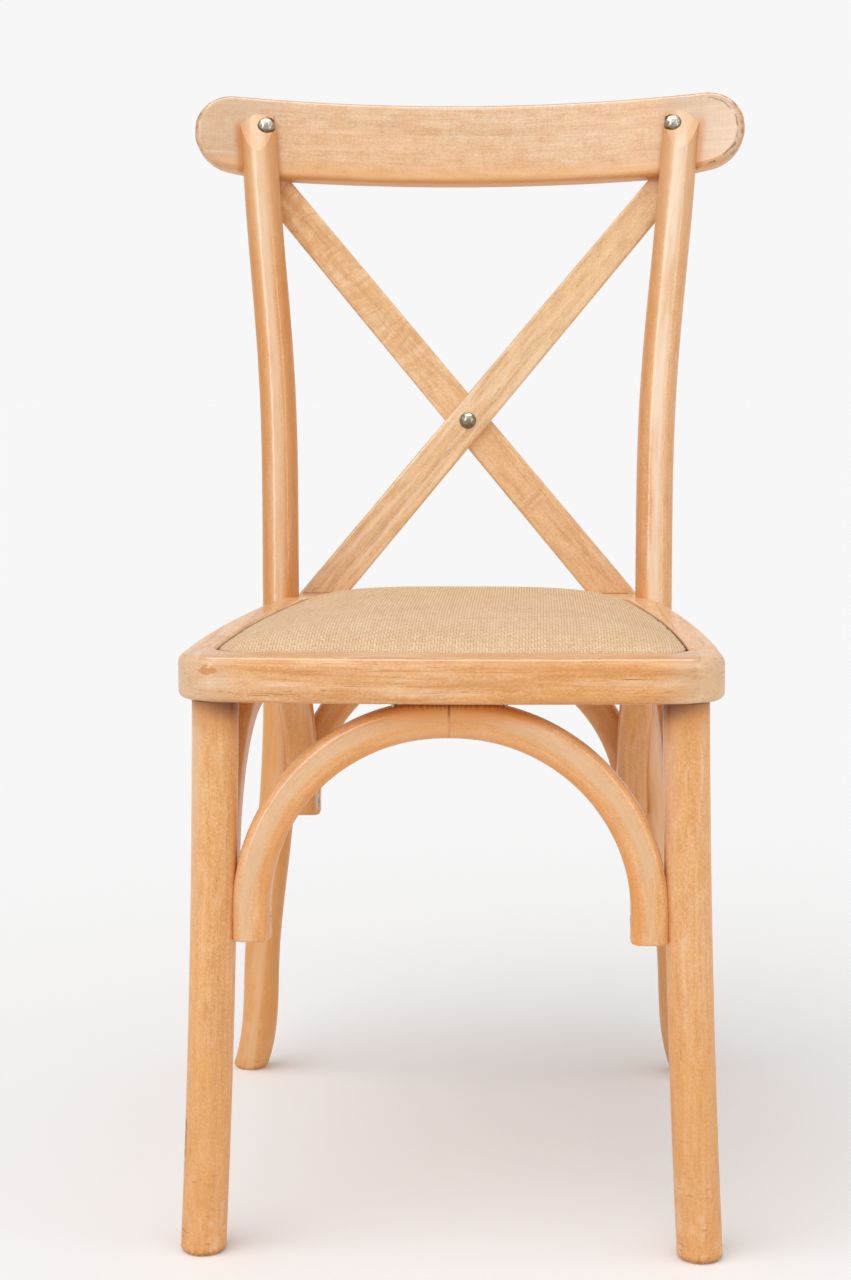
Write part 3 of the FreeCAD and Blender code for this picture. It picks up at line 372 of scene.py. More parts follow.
class CHAIR_OT_ring(bpy.types.Operator):
    """Finishes the four rails of the seat ring and their dowels"""
    bl_idname = "chair.ring"
    bl_label = "Seat ring"

    def execute(self, context):
        wood = context.scene.chair_wood
        low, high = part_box("rattan_sheet")
        middle_y = (low[1] + high[1]) / 2
        for node, long_way, seed, pale in RING_RAILS:
            rail = Finish(node)
            along, deep = (rail.x, rail.y) if long_way == "x" else (rail.y, rail.x)
            facing = rail.split(rail.node("ShaderNodeNewGeometry").outputs["True Normal"])
            inward = facing[0] * rail.x + facing[1] * (rail.y - middle_y)
            # Painted shade on the ring's inner wall, just below its top, where it meets the
            # weave.
            wall_shade = inward.rise(-0.03, -0.08) * (SEAT_TOP - rail.z).rise(0.0003, 0.0030)
            # under: painted shade along the bottom of the ring.
            under = (RING_UNDER + 0.0035 - rail.z).rise(0.0, 0.004)
            line = rail.noise(along * 5 + seed, rail.z * 900, deep * 260, detail=2)
            corner = ((abs(rail.x) - CORNER_X).rise(0.0, 0.035)
                      * (CORNER_Y - rail.y).rise(0.0, 0.030))
            marks = [(corner * 0.60, wood.ash_and_highlight), (corner * 0.18, wood.haze),
                     (line.rise(0.58, 0.70) * 0.50, wood.amber_and_shade), (under * 0.25, wood.amber_and_shade),
                     (wall_shade * 0.85, wood.pore_and_shade)]
            if node == "seat_front_rail":
                marks += self.weathered(rail, wood)
            add_wood(rail, along, rail.z, deep, seed=seed, pale=pale, figure=0.9, marks=marks)
            put_on(rail, node)
        dowel = Finish("dowel_wood")
        add_wood(dowel, dowel.x, dowel.y, dowel.z, seed=31, pale=0.8)
        put_on(dowel, "corner_dowels")
        return {"FINISHED"}

    def weathered(self, rail, wood):
        """The front rail's torn patch, long pores and cloudy bands."""
        patch = (abs(rail.x - TORN_X) * 90 + abs(rail.z - SEAT_TOP + TORN_DROP) * 230
                 + rail.specks(150, detail=3) * 1.8)
        dashes = rail.noise(rail.x * 34, rail.z * 1300, rail.y * 400, detail=1)
        cloud = rail.noise(rail.x * 9 + 3, rail.z * 130, rail.y * 40, detail=2)
        return [(patch.rise(1.9, 1.5) * 0.75, wood.amber_and_shade),
                (dashes.rise(0.70, 0.76) * 0.6, wood.pore_and_shade),
                (cloud.rise(0.42, 0.70) * 0.45, wood.amber_and_shade),
                ((1 - cloud).rise(0.56, 0.72) * 0.30, wood.cream)]


class CHAIR_OT_legs(bpy.types.Operator):
    """Finishes the front legs and the rear posts"""
    bl_idname = "chair.legs"
    bl_label = "Legs and posts"

    def execute(self, context):
        wood = context.scene.chair_wood
        for side, way in (("right", 1), ("left", -1)):
            self.finish_leg(wood, "front_leg_" + side, way)
            self.finish_post(wood, "rear_post_" + side, way)
        return {"FINISHED"}

    def finish_leg(self, wood, node, way):
        """A front leg: rubbed near the floor, with a painted highlight down its left side and
        a painted shadow where it meets the ring.
        """
        leg = Finish(node)
        down = (RING_UNDER - leg.z) / RING_UNDER
        middle = (down * LEG_SPLAY - down * (1 - down) * (4 * LEG_BOW) + LEG_TOP_X) * way
        across, depth = leg.x - middle, leg.y - LEG_Y
        # tucked: the height below the ring, leaning towards the chair's middle, for the
        # painted shadow the ring casts.
        tucked = leg.z - across * (0.35 * way) - RING_UNDER
        marks = self.scuffs(leg, wood, across, depth, way)
        # A painted highlight down the left side of the leg, above its lowest part.
        marks += [(across.rise(-0.004, -0.017) * leg.z.rise(0.15, 0.4) * 0.35, wood.cream),
                  ((0.30 - leg.z).rise(0.0, 0.25) * 0.35, wood.gold),
                  ((0.26 - leg.z).rise(0.0, 0.20) * 0.16, wood.amber_and_shade)]
        if way < 0:
            marks.append((self.gouge(leg, across, depth), wood.pore_and_shade))
        # The painted shadow that the ring casts on the top of the leg.
        marks += [(tucked.rise(-0.034, -0.006) * 0.7, wood.amber_and_shade),
                  (tucked.rise(-0.015, 0.002) * 0.85, wood.pore_and_shade)]
        add_wood(leg, leg.z, across, depth, seed=20.5 + way * 3, pale=0.08, figure=0.6,
                 marks=marks, bands=0.85, coarse=0.6)
        put_on(leg, node)

    def gouge(self, leg, across, depth):
        """A ragged gouge low on the front of the left leg, near its outer side."""
        torn = leg.noise(leg.z * 240, across * 300, depth * 300, detail=3)
        slot = (0.0013 - abs(across + 0.0152 + (torn - 0.5) * 0.002)).rise(0.0, 0.001)
        length = leg.z.rise(0.055, 0.095) * (0.103 - leg.z).rise(0.0, 0.002)
        return (slot * length * (-0.002 - depth).rise(0.0, 0.002)
                * torn.rise(0.30, 0.55) * 0.7)

    def finish_post(self, wood, node, way):
        """A rear post: greyer at the top, with a painted highlight as a pale band down its
        front, and painted shade on its sides.
        """
        post = Finish(node)
        across = post.x - post_axis(post, POST_X, POST_BENDS_X) * way
        depth = post.y - post_axis(post, POST_Y, POST_BENDS_Y)
        # worn is noise that wobbles and breaks up the painted highlight down the front.
        worn = post.noise(post.z * 9, across * 60, depth * 60 + way, detail=3)
        wobble = (worn - 0.5) * 0.008
        front = 0.5 - depth * 40
        aside = abs(across + 0.001)
        # band and stripe: the painted highlight down the post's front.
        band = (1 - aside * 130).rise(0.0, 0.7) * front
        stripe = (0.0055 - abs(across - 0.001 + wobble)).rise(0.0, 0.0030)
        marks = self.scuffs(post, wood, across, depth, way)
        marks += [(post.z.rise(0.70, 0.80) * 0.45, wood.ash_and_highlight),
                  ((0.80 - post.z).rise(0.0, 0.10) * (0.13 - way * 0.13), wood.amber_and_shade),
                  # The stripe and the band are painted highlight; the left side and both edges
                  # get painted shade.
                  (stripe * front * 0.4, wood.ash_and_highlight),
                  ((wobble - across - 0.0040).rise(0.0, 0.0025) * 0.30, wood.amber_and_shade),
                  (band * worn.rise(0.30, 0.55) * (0.5 + way * 0.2), wood.cream),
                  ((aside - 0.006).rise(0.0, 0.006) * (0.45 - way * 0.12), wood.amber_and_shade),
                  ((0.42 - post.z).rise(0.0, 0.04) * 0.5, wood.gold)]
        add_wood(post, post.z, across, depth, seed=40.1 + way * 4, pale=0.2 + way * 0.2,
                 figure=0.6, marks=marks)
        put_on(post, node)

    def scuffs(self, leg, wood, across, depth, way):
        """Grime, scratches and rubbed patches near the floor, and darkening along the foot's
        bottom edge.
        """
        low = (0.11 - leg.z).rise(0.0, 0.09)
        # rim: the bottom few millimetres of the foot, which are darkened.
        rim = (0.007 - leg.z).rise(0.0, 0.005)
        rubbed = leg.noise(leg.z * 45, across * 90, depth * 90 + way, detail=3)
        scratch = leg.noise(leg.z * 420 + way, across * 75, depth * 75, detail=3)
        grime = leg.noise(leg.z * 160, across * 420, depth * 420 + way, detail=4)
        return [(rubbed.rise(0.50, 0.66) * low * 0.5, wood.cream),
                ((1 - rubbed).rise(0.52, 0.68) * low * 0.35, wood.amber_and_shade),
                (scratch.rise(0.64, 0.70) * low * 0.6, wood.pore_and_shade),
                (grime.rise(0.58, 0.68) * low * 0.25, wood.pore_and_shade),
                (grime.rise(0.34, 0.54) * rim * 0.75, wood.pore_and_shade)]


WORN_END = 0.2      # how far from the middle the crest's chipped and cracked ends begin


class CHAIR_OT_crest(bpy.types.Operator):
    """Finishes the bent crest rail"""
    bl_idname = "chair.crest"
    bl_label = "Crest rail"

    def execute(self, context):
        wood = context.scene.chair_wood
        rail = Finish("crest_rail")
        behind, above = rail.y - CREST_MIDDLE.y, rail.z - CREST_MIDDLE.z
        forward = behind * math.cos(CREST_LEAN) - above * math.sin(CREST_LEAN)
        up = behind * math.sin(CREST_LEAN) + above * math.cos(CREST_LEAN)
        reach = forward + CREST_RADIUS
        along = rail.math("ARCTAN2", rail.x, reach) * CREST_RADIUS
        deep = (rail.x ** 2 + reach ** 2) ** 0.5 - CREST_RADIUS
        aside = abs(rail.x)
        dry = rail.noise(along * 14, up * 260, deep * 260, detail=3)
        cross = rail.noise(along * 500, up * 60, deep * 60, detail=2)
        # beside: painted shade on the crest next to each post, low on its front.
        off_post = abs(aside - post_axis(rail, POST_X, POST_BENDS_X) - 0.001)
        beside = ((0.0215 - off_post).rise(0.0, 0.006)
                  * (-0.012 - deep * 2).rise(-0.012, 0.0) * (0.018 - up).rise(0.0, 0.014))
        marks = [((aside - 0.160).rise(0.0, 0.025) * (0.5 + rail.x * 0.5), wood.haze),
                 (dry.rise(0.5, 0.75) * 0.30, wood.cream),
                 ((1 - dry).rise(0.58, 0.8) * 0.25, wood.amber_and_shade),
                 (cross.rise(0.5, 0.7) * 0.12, wood.amber_and_shade),
                 ((-0.016 - up).rise(0.0, 0.016) * 0.55, wood.gold),
                 (beside * 0.8, wood.amber_and_shade),
                 # Painted shade along the crest's top and bottom edges.
                 ((abs(up) - 0.0325).rise(0.0, 0.003) * 0.45, wood.amber_and_shade)]
        marks += self.worn_ends(rail, wood, along, up, deep, aside)
        add_wood(rail, along, up, deep, seed=57, pale=0.85, figure=0.3, marks=marks,
                 faded=wood.ash_and_highlight, bands=0.6)
        put_on(rail, "crest_rail")
        return {"FINISHED"}

    def worn_ends(self, rail, wood, along, up, deep, aside):
        """Chipped rims on both round ends, and a crack in the right one."""
        chip = rail.noise(along * 160, up * 160, deep * 160, detail=4)
        torn = rail.noise(along * 90, up * 90, deep * 90, detail=3)
        tip = (((aside - CREST_HALF + CREST_ROUND) / CREST_ROUND).least(0.0) ** 2
               + (up / CREST_HALF_HEIGHT) ** 2) ** 0.5
        rim = ((tip + (chip - 0.5) * 0.12).rise(0.86, 1.0)
               * (aside - WORN_END).rise(0.0, 0.02))
        line = (0.035 - abs(tip + (chip - 0.5) * 0.2 - 0.80)).rise(0.0, 0.03)
        crack = line * (rail.x - WORN_END).rise(0.0, 0.02) * torn.rise(0.38, 0.47)
        return [(rim * 0.65, wood.amber_and_shade), (crack * 0.7, wood.pore_and_shade),
                (rim * chip.rise(0.54, 0.62) * 0.5, wood.pore_and_shade),
                (rim * (1 - chip).rise(0.56, 0.64) * 0.55, wood.cream)]


class CHAIR_OT_slats(bpy.types.Operator):
    """Finishes the two crossed slats"""
    bl_idname = "chair.slats"
    bl_label = "Crossed slats"

    def execute(self, context):
        wood = context.scene.chair_wood
        lean = math.atan(SLAT_SLOPE)
        for node, way, seed in (("cross_slat_front", 1, 63), ("cross_slat_rear", -1, 71)):
            slat = Finish(node)
            rise = slat.z - SLAT_CROSS_Z
            along = slat.x * (way * math.sin(lean)) + rise * math.cos(lean)
            across = slat.x * math.cos(lean) - rise * (way * math.sin(lean))
            bark = slat.noise(along * 26, across * 150, slat.y * 60, detail=4, roughness=0.6)
            marks = [(bark.rise(0.52, 0.72) * 0.30, wood.amber_and_shade)]
            if way > 0:
                bare = slat.noise(along * 16, across * 260, slat.y * 90, detail=4)
                fleck = slat.noise(along * 120, across * 300, slat.y * 90, detail=3)
                low = (0.12 - rise).rise(0.0, 0.10)
                marks += [(bare.rise(0.42, 0.64) * low * 0.45, wood.cream),
                          (fleck.rise(0.68, 0.74) * 0.6, wood.amber_and_shade)]
                relief, dark = None, wood.umber
            else:
                folds = self.folds(slat, along, across)
                marks.append((folds * 0.28, wood.amber_and_shade))
                relief, dark = folds * 3.0, wood.amber_and_shade
            add_wood(slat, along, across, slat.y * 0.5, seed=seed, pale=0.75, figure=0.5,
                     marks=marks, relief=relief, dark=dark, faded=wood.straw)
            put_on(slat, node)
        return {"FINISHED"}

    def folds(self, slat, along, across):
        """Bark-like folds across the rear slat, above the bolt and half way down."""
        sway = slat.noise(along * 20, across * 30, slat.y * 20, detail=2)
        folds = slat.noise(along * 170 + sway * 5, across * 18, slat.y * 20, detail=2)
        here = (along - 0.02).rise(0.0, 0.05) + (abs(along + 0.09) * -40 + 1).least(0.0)
        return folds.rise(0.40, 0.66) * here


class CHAIR_OT_arches(bpy.types.Operator):
    """Finishes the eight halves of the bentwood arches"""
    bl_idname = "chair.arches"
    bl_label = "Arches"

    def execute(self, context):
        wood = context.scene.chair_wood
        halves = []
        for side, way in (("right", 1), ("left", -1)):
            halves += [("front_arch_" + side, "x", way, 0, FRONT_ARCH),
                       ("rear_arch_" + side, "x", way, 0, BACK_ARCH),
                       (side + "_arch_front", "y", -1, SIDE_ARCH_MIDDLE, SIDE_ARCH),
                       (side + "_arch_rear", "y", 1, SIDE_ARCH_MIDDLE, SIDE_ARCH)]
        for seed, (node, axis, way, middle, arch) in enumerate(halves):
            half = Finish(node)
            bend, foot = arch["bend"], arch["foot"]
            out = (half.x if axis == "x" else half.y - middle) * way
            side = half.y if axis == "x" else half.x
            beyond, above = out - (foot - bend), half.z - (ARCH_TOP - bend)
            right, up = beyond.least(0.0), above.least(0.0)
            radius = (right ** 2 + up ** 2) ** 0.5
            turn = half.math("ARCTAN2", up, right) * bend
            along = turn + above.most(0.0) - beyond.most(0.0)
            arch_highlight_noise = half.noise(along * 7 + seed, radius * 50, side * 50, detail=2)
            inner = (bend - radius).rise(0.0, 0.010)
            # crown: the band along the outer curve that takes a painted highlight.
            crown = (0.0080 - abs(radius - bend - 0.003)).rise(0.0, 0.006)
            top = (turn - bend * 0.95).rise(0.0, bend * 0.55)
            # Front arches: painted shade on the inner side, and a painted highlight along the
            # crown, broken up by noise.
            if node.startswith("front_arch"):
                marks = [(inner * 0.5, wood.honey),
                         (crown * arch_highlight_noise.rise(0.30, 0.54) * 0.65, wood.ash_and_highlight)]
            else:
                # The rear and side arches are darkened all over: painted shade.
                marks = [(0.48, wood.amber_and_shade)]
            # Every arch: painted shade at its top, and a painted highlight on its inner side
            # there.
            marks += [(top * 0.3, wood.honey), (inner * top * 0.3, wood.ash_and_highlight)]
            marks += self.under_ring(half, wood, along, radius, side, out)
            # The side arches fade less, which makes them darker: painted shade.
            add_wood(half, along, radius, side, seed=80.3 + seed * 3.7,
                     pale=0.12 if axis == "x" else 0.02, figure=0.7, marks=marks)
            put_on(half, node)
        return {"FINISHED"}

    def under_ring(self, half, wood, along, radius, side, out):
        """The painted shade and painted contact shadow where an arch meets the ring, the saw
        marks there, and the seam in its middle.
        """
        height = half.z - RING_UNDER
        saw = half.noise(along * 700, radius * 25, side * 25, detail=1).rise(0.45, 0.6)
        seam = ((0.0016 - abs(out)).rise(0.0, 0.0014)
                * (height.rise(-0.014, -0.006) * 0.6 + 0.15))
        # Painted shade under the ring, saw marks, a painted contact shadow against the ring,
        # and the seam.
        return [(height.rise(-0.020, -0.006) * 0.8, wood.honey),
                (height.rise(-0.007, -0.001) * saw * 0.55, wood.pore_and_shade),
                (height.rise(-0.005, -0.0005) * 0.7, wood.pore_and_shade), (seam, wood.pore_and_shade)]


# Seat

MERGE = 0.01 * MM        # corners nearer than this are one
PLY = 0.003              # two of the board's veneers
FOAM_INSET = 1.2 * MM    # the foam starts this much smaller than its space
FOAM_SWELL = 1.0 * MM    # and swells by this at most
FOAM_VOXEL, FOAM_PRESSURE, FOAM_FRAMES = 0.004, 4, 20
GLUE_LINE = 0.6 * MM     # how high the foam's glued edge is
SHOULDER, SHOULDER_DROP = 3.5 * MM, 0.8 * MM    # where the weave begins to turn down
SIDE_LEAST = 0.2 * MM    # shorter sides of the mat's outline are passed over
EDGE_HEIGHT = 12 * MM    # the top of the mat's rim, above its lowest edge
WALL_DROPS = (1.5, 4, 5.5)    # steps down the mat's side, in millimetres
OVERHEAD = 0.05          # how far above the seat its height is taken from


def copy_of(node):
    """The CAD node's surface as a new mesh, its loose triangles joined."""
    shape = bmesh.new()
    shape.from_mesh(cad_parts[node].data)
    bmesh.ops.remove_doubles(shape, verts=shape.verts, dist=MERGE)
    shape.normal_update()
    return shape


def new_object(name, data):
    """An object in the scene, at the origin."""
    item = bpy.data.objects.new(name, data)
    bpy.context.scene.collection.objects.link(item)
    return item


def piece_from(shape, name):
    """A new smooth piece from a bmesh."""
    mesh = bpy.data.meshes.new(name)
    shape.to_mesh(mesh)
    shape.free()
    for face in mesh.polygons:
        face.use_smooth = True
    return new_object(name, mesh)


class CHAIR_OT_board(bpy.types.Operator):
    """Finishes the plywood board of the drop-in seat"""
    bl_idname = "chair.board"
    bl_label = "Seat board"

    def execute(self, context):
        wood = context.scene.chair_wood
        ply = Finish("plywood")
        layers = ((ply.z - SEAT_TOP) * (2 * math.pi / PLY)).wave()
        half_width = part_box("seat_board")[1][0]
        side = (abs(ply.x) - half_width + 0.004).rise(0.0, 0.004)
        add_wood(ply, ply.x, ply.y * 0.3, ply.z, seed=5, pale=0.9, figure=1.0,
                 marks=[(layers.rise(0.4, 0.6) * side * 0.5, wood.pore_and_shade)])
        put_on(ply, "seat_board")
        return {"FINISHED"}


class CHAIR_OT_pad(bpy.types.Operator):
    """Makes the foam pad that lies between the board and the weave"""
    bl_idname = "chair.pad"
    bl_label = "Padding"

    def execute(self, context):
        seat = context.scene.chair_seat
        shape = copy_of("seat_padding")
        for vertex in shape.verts:
            vertex.co -= vertex.normal * FOAM_INSET
        pad = piece_from(shape, "seat_pad")
        self.swell(context, pad)
        foam = Finish("foam")
        bubble = foam.specks(900, detail=3)
        foam.surface(Base_Color=foam.mix(bubble.rise(0.3, 0.7) * 0.4, seat.pad, seat.sand),
                     Roughness=0.9)
        foam.bump(bubble, distance=0.0004)
        put_on(foam, pad)
        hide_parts("seat_padding")
        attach(pad, "root")
        return {"FINISHED"}

    def swell(self, context, pad):
        """Blows the foam up a little by cloth simulation, and keeps it under the weave."""
        even = pad.modifiers.new("even", "REMESH")
        even.mode, even.voxel_size = "VOXEL", FOAM_VOXEL
        self.apply(pad)
        start = [vertex.co.copy() for vertex in pad.data.vertices]
        floor = min(point.z for point in start)
        held = pad.vertex_groups.new(name="glued")
        held.add([i for i, point in enumerate(start) if point.z < floor + GLUE_LINE], 1.0,
                 "ADD")
        cloth = pad.modifiers.new("cloth", "CLOTH")
        cloth.settings.vertex_group_mass = "glued"
        cloth.settings.use_pressure = True
        cloth.settings.uniform_pressure_force = FOAM_PRESSURE
        cloth.settings.effector_weights.gravity = 0
        for frame_number in range(1, FOAM_FRAMES + 1):
            context.scene.frame_set(frame_number)
        self.apply(pad)
        context.scene.frame_set(1)
        for vertex, point in zip(pad.data.vertices, start):
            moved = vertex.co - point
            if moved.length > FOAM_SWELL:
                vertex.co = point + moved.normalized() * FOAM_SWELL
        finer = pad.modifiers.new("finer", "SUBSURF")
        finer.levels = finer.render_levels = 1
        self.apply(pad)
        for face in pad.data.polygons:
            face.use_smooth = True

    def apply(self, pad):
        """Makes the modifiers' result the piece's own mesh."""
        seen = pad.evaluated_get(bpy.context.evaluated_depsgraph_get())
        mesh = bpy.data.meshes.new_from_object(seen)
        pad.modifiers.clear()
        pad.data = mesh


class CHAIR_OT_weave(bpy.types.Operator):
    """Makes the woven rattan sheet that is stretched over the padding"""
    bl_idname = "chair.weave"
    bl_label = "Woven seat"

    def execute(self, context):
        seat = context.scene.chair_seat
        solid = copy_of("rattan_sheet")
        corners = [vertex.co.xy for vertex in solid.verts]
        outline = [corners[i] for i in convex_hull_2d(corners)]
        surface = BVHTree.FromBMesh(solid)
        low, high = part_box("rattan_sheet")
        solid.free()
        step = seat.pitch
        columns = 2 * math.ceil((high[0] - low[0]) / 2 / step)
        rows = 2 * math.ceil((high[1] - low[1]) / 2 / step)
        middle_row = round((low[1] + high[1]) / 2 / step)
        weave = bmesh.new()
        bmesh.ops.create_grid(weave, x_segments=columns, y_segments=rows, size=0.5,
                              matrix=Matrix.Diagonal((columns * step, rows * step, 1, 1)))
        bmesh.ops.translate(weave, verts=weave.verts, vec=(0, middle_row * step, 0))
        walls = [(Vector((end.y - start.y, start.x - end.x)).normalized(), start)
                 for start, end in zip(outline, outline[1:] + outline[:1])
                 if (end - start).length > SIDE_LEAST]
        for out, start in walls:
            everything = weave.verts[:] + weave.edges[:] + weave.faces[:]
            bmesh.ops.bisect_plane(weave, geom=everything, plane_co=start.to_3d(),
                                   plane_no=out.to_3d(), clear_outer=True, dist=2 * MERGE)
        for vertex in weave.verts:
            x, y = vertex.co.x, vertex.co.y
            inset = min(-(out.x * (x - s.x) + out.y * (y - s.y)) for out, s in walls)
            overhead = Vector((x, y, high[2] + OVERHEAD))
            top = surface.ray_cast(overhead, Vector((0, 0, -1)))[0]
            height = top.z if top else low[2] + EDGE_HEIGHT
            if inset < SHOULDER:
                height -= SHOULDER_DROP * (1 - inset / SHOULDER) ** 2
            over = 1 if (round(x / step) - round(y / step)) % 4 < 2 else -1
            vertex.co.z = height + over / 2 * seat.relief * min(1, inset / SHOULDER)
        rim = [edge for edge in weave.edges if edge.is_boundary]
        for drop in WALL_DROPS:
            walled = bmesh.ops.extrude_edge_only(weave, edges=rim)["geom"]
            rim = [item for item in walled if isinstance(item, bmesh.types.BMEdge)
                   and item.is_boundary]
            foot = [item for item in walled if isinstance(item, bmesh.types.BMVert)]
            bmesh.ops.translate(weave, verts=foot, vec=(0, 0, -drop * MM))
        bmesh.ops.recalc_face_normals(weave, faces=weave.faces)
        top_face = max(weave.faces, key=lambda face: face.calc_center_median().z)
        if top_face.normal.z < 0:
            bmesh.ops.reverse_faces(weave, faces=weave.faces)
        area = sum(face.calc_area() for face in weave.faces)
        cover = piece_from(weave, "rattan_cover")
        self.finish(cover, seat)
        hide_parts("rattan_sheet")
        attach(cover, "root")
        return {"FINISHED"}

    def finish(self, cover, seat):
        """Strands that float over two and under two, each with a shade of its own, with
        painted shade between them and where they turn under the ring.
        """
        cane = Finish("woven_rattan")
        u, v = cane.x / seat.pitch, cane.y / seat.pitch
        column, row = (u + 0.5).floor(), (v + 0.5).floor()
        far = 4000    # a multiple of the weave's four, which keeps the counts above zero
        warp = 1 - cane.math("MODULO", column - row + far, 4.0).above(1.5)
        beside, ahead = abs(u - column) * 2, abs(v - row) * 2
        warp_float = cane.math("MODULO", v - column + (far + 1.5), 4.0) - 1
        weft_float = cane.math("MODULO", u - row + (far - 1.5), 4.0) - 1
        across = beside * warp + ahead * (1 - warp)
        lengthways = abs(warp_float) * warp + abs(weft_float) * (1 - warp)
        crown = (1 - across ** 2 * 0.85) * (1 - lengthways ** 4 * 0.6)
        shade = cane.noise(column * 3.7 * warp + row * 5.3 * (1 - warp), warp * 9.0,
                           (cane.y * warp + cane.x * (1 - warp)) * 30, detail=1)
        patch = cane.specks(22, detail=3)
        fibre = cane.specks(2600, detail=1)
        paler = (shade * 0.8 + patch * 0.3 - 0.05).rise(0.25, 0.75)
        # tucked: painted shade where the weave turns down under the ring's edge.
        tucked = (SEAT_TOP + 0.0005 - cane.z).rise(0.0, 0.004)
        colour = cane.layer(cane.mix(paler, seat.sand, seat.cream), [
            # Painted shade in the crevices between strands, fine dark fibres, and the painted
            # shade at the edge.
            ((1 - crown).rise(0.30, 0.95) * 0.75, seat.gap),
            (fibre.rise(0.55, 0.8) * 0.25, seat.gap), (tucked * 0.9, seat.edge)])
        cane.surface(Base_Color=colour, Roughness=0.5 + (1 - crown) * 0.3,
                     Specular_IOR_Level=0.35)
        cane.bump(crown * 0.8 + fibre * 0.15, distance=0.0004)
        put_on(cane, cover)


# Bolts and screws

SHELL_LEAST = 20         # a screw or bolt has more corners than this
UNDER_HEAD = 0.2 * MM    # how level the flat under its head is
DOME_STEPS, DOME_ROUNDS, SCREW_STEPS = 48, 14, 24
DENTS_FROM = 0.2 * MM    # dents lie higher on the dome than this
DENT_WIDTHS = (1.4, 2.4)    # in millimetres
# Halves of the two screw heads, from the middle of the top: (radius, height) in millimetres
FLUSH_HEAD = [(0, 0.35), (1.0, 0.35), (2.6, 0.33), (3.4, 0.28), (4.0, 0.05), (3.9, -0.25),
              (2.1, -2.6)]
ROUND_HEAD = [(0, 3.0), (1.0, 2.95), (2.6, 2.5), (3.5, 1.6), (4.0, 0.5), (3.9, 0.0),
              (2.0, 0.0)]
# The screws of each node, and whether they are pulled in flush
SCREWS = (("post_screws", False), ("arch_leg_screws", True), ("arch_seat_screws", False),
          ("board_screws", False), ("slat_screws", True))


def groups_of(shape):
    """The separate shells of a shape, as lists of vertices."""
    left, groups = set(shape.verts), []
    while left:
        group, edge = [], [left.pop()]
        while edge:
            vertex = edge.pop()
            group.append(vertex)
            near = {link.other_vert(vertex) for link in vertex.link_edges} & left
            left -= near
            edge.extend(near)
        if len(group) > SHELL_LEAST:
            groups.append(group)
    return groups


def seats_of(node):
    """Where each screw or bolt of a CAD node sits: the middle of the flat under its head,
    the way out of the head, and how far its shank reaches."""
    shape, seats = copy_of(node), []
    for group in groups_of(shape):
        flats = {}
        for face in {face for vertex in group for face in vertex.link_faces}:
            key = tuple(round(part * 20) for part in face.normal)
            flats.setdefault(key, []).append(face)
        flat = max(flats.values(), key=lambda flat: sum(f.calc_area() for f in flat))
        inward = flat[0].normal.copy()
        depths = [face.calc_center_median() @ inward for face in flat]
        under = [f for f, depth in zip(flat, depths) if depth < min(depths) + UNDER_HEAD]
        area = sum(face.calc_area() for face in under)
        middle = sum((f.calc_center_median() * f.calc_area() for f in under), Vector()) / area
        length = max((vertex.co - middle) @ inward for vertex in group)
        seats.append((middle, -inward, length))
    shape.free()
    return sorted(seats, key=lambda seat: tuple(round(part, 4) for part in seat[0]))


def turned(profile, steps):
    """A closed shape turned on a lathe from (radius, height) points in millimetres."""
    shape = bmesh.new()
    line = [shape.verts.new((radius * MM, 0, height * MM)) for radius, height in profile]
    line += [shape.edges.new(pair) for pair in zip(line, line[1:])]
    bmesh.ops.spin(shape, geom=line, axis=(0, 0, 1), cent=(0, 0, 0), angle=2 * math.pi,
                   steps=steps, use_merge=True, use_duplicate=False)
    bmesh.ops.remove_doubles(shape, verts=shape.verts, dist=0.001 * MM)
    bmesh.ops.recalc_face_normals(shape, faces=shape.faces)
    return shape


def thread(radius, depth, pitch, start, end):
    """The outline of a threaded shank, from the head down, in millimetres."""
    points, height = [], start
    while height - pitch > end:
        points += [(radius, height), (radius - depth, height - pitch / 2)]
        height -= pitch
    return points


def cross_recess(shape, reach, depth):
    """Presses a cross with arms 30 degrees wide into the top of a screw's head."""
    def in_cross(face):
        middle = face.calc_center_median()
        turn = math.degrees(math.atan2(middle.y, middle.x)) % 90
        return (face.normal.z > 0.7 and middle.xy.length < reach * MM
                and (turn < 15 or turn > 75 or middle.xy.length < reach * 0.35 * MM))
    faces = [face for face in shape.faces if in_cross(face)]
    bmesh.ops.inset_region(shape, faces=faces, thickness=0.12 * MM, depth=-depth * MM,
                           use_even_offset=True)


def set_out(shape, seats, name):
    """Copies of one screw or bolt at each seat, each turned its own way, as one piece."""
    draw = random.Random(name)
    one = bpy.data.meshes.new(name)
    shape.to_mesh(one)
    shape.free()
    together = bmesh.new()
    for middle, out, _ in seats:
        before = len(together.verts)
        together.from_mesh(one)
        together.verts.ensure_lookup_table()
        place = (Matrix.Translation(middle)
                 @ Vector((0, 0, 1)).rotation_difference(out).to_matrix().to_4x4()
                 @ Matrix.Rotation(draw.uniform(0, math.pi / 2), 4, "Z"))
        bmesh.ops.transform(together, matrix=place, verts=together.verts[before:])
    bpy.data.meshes.remove(one)
    return piece_from(together, name)


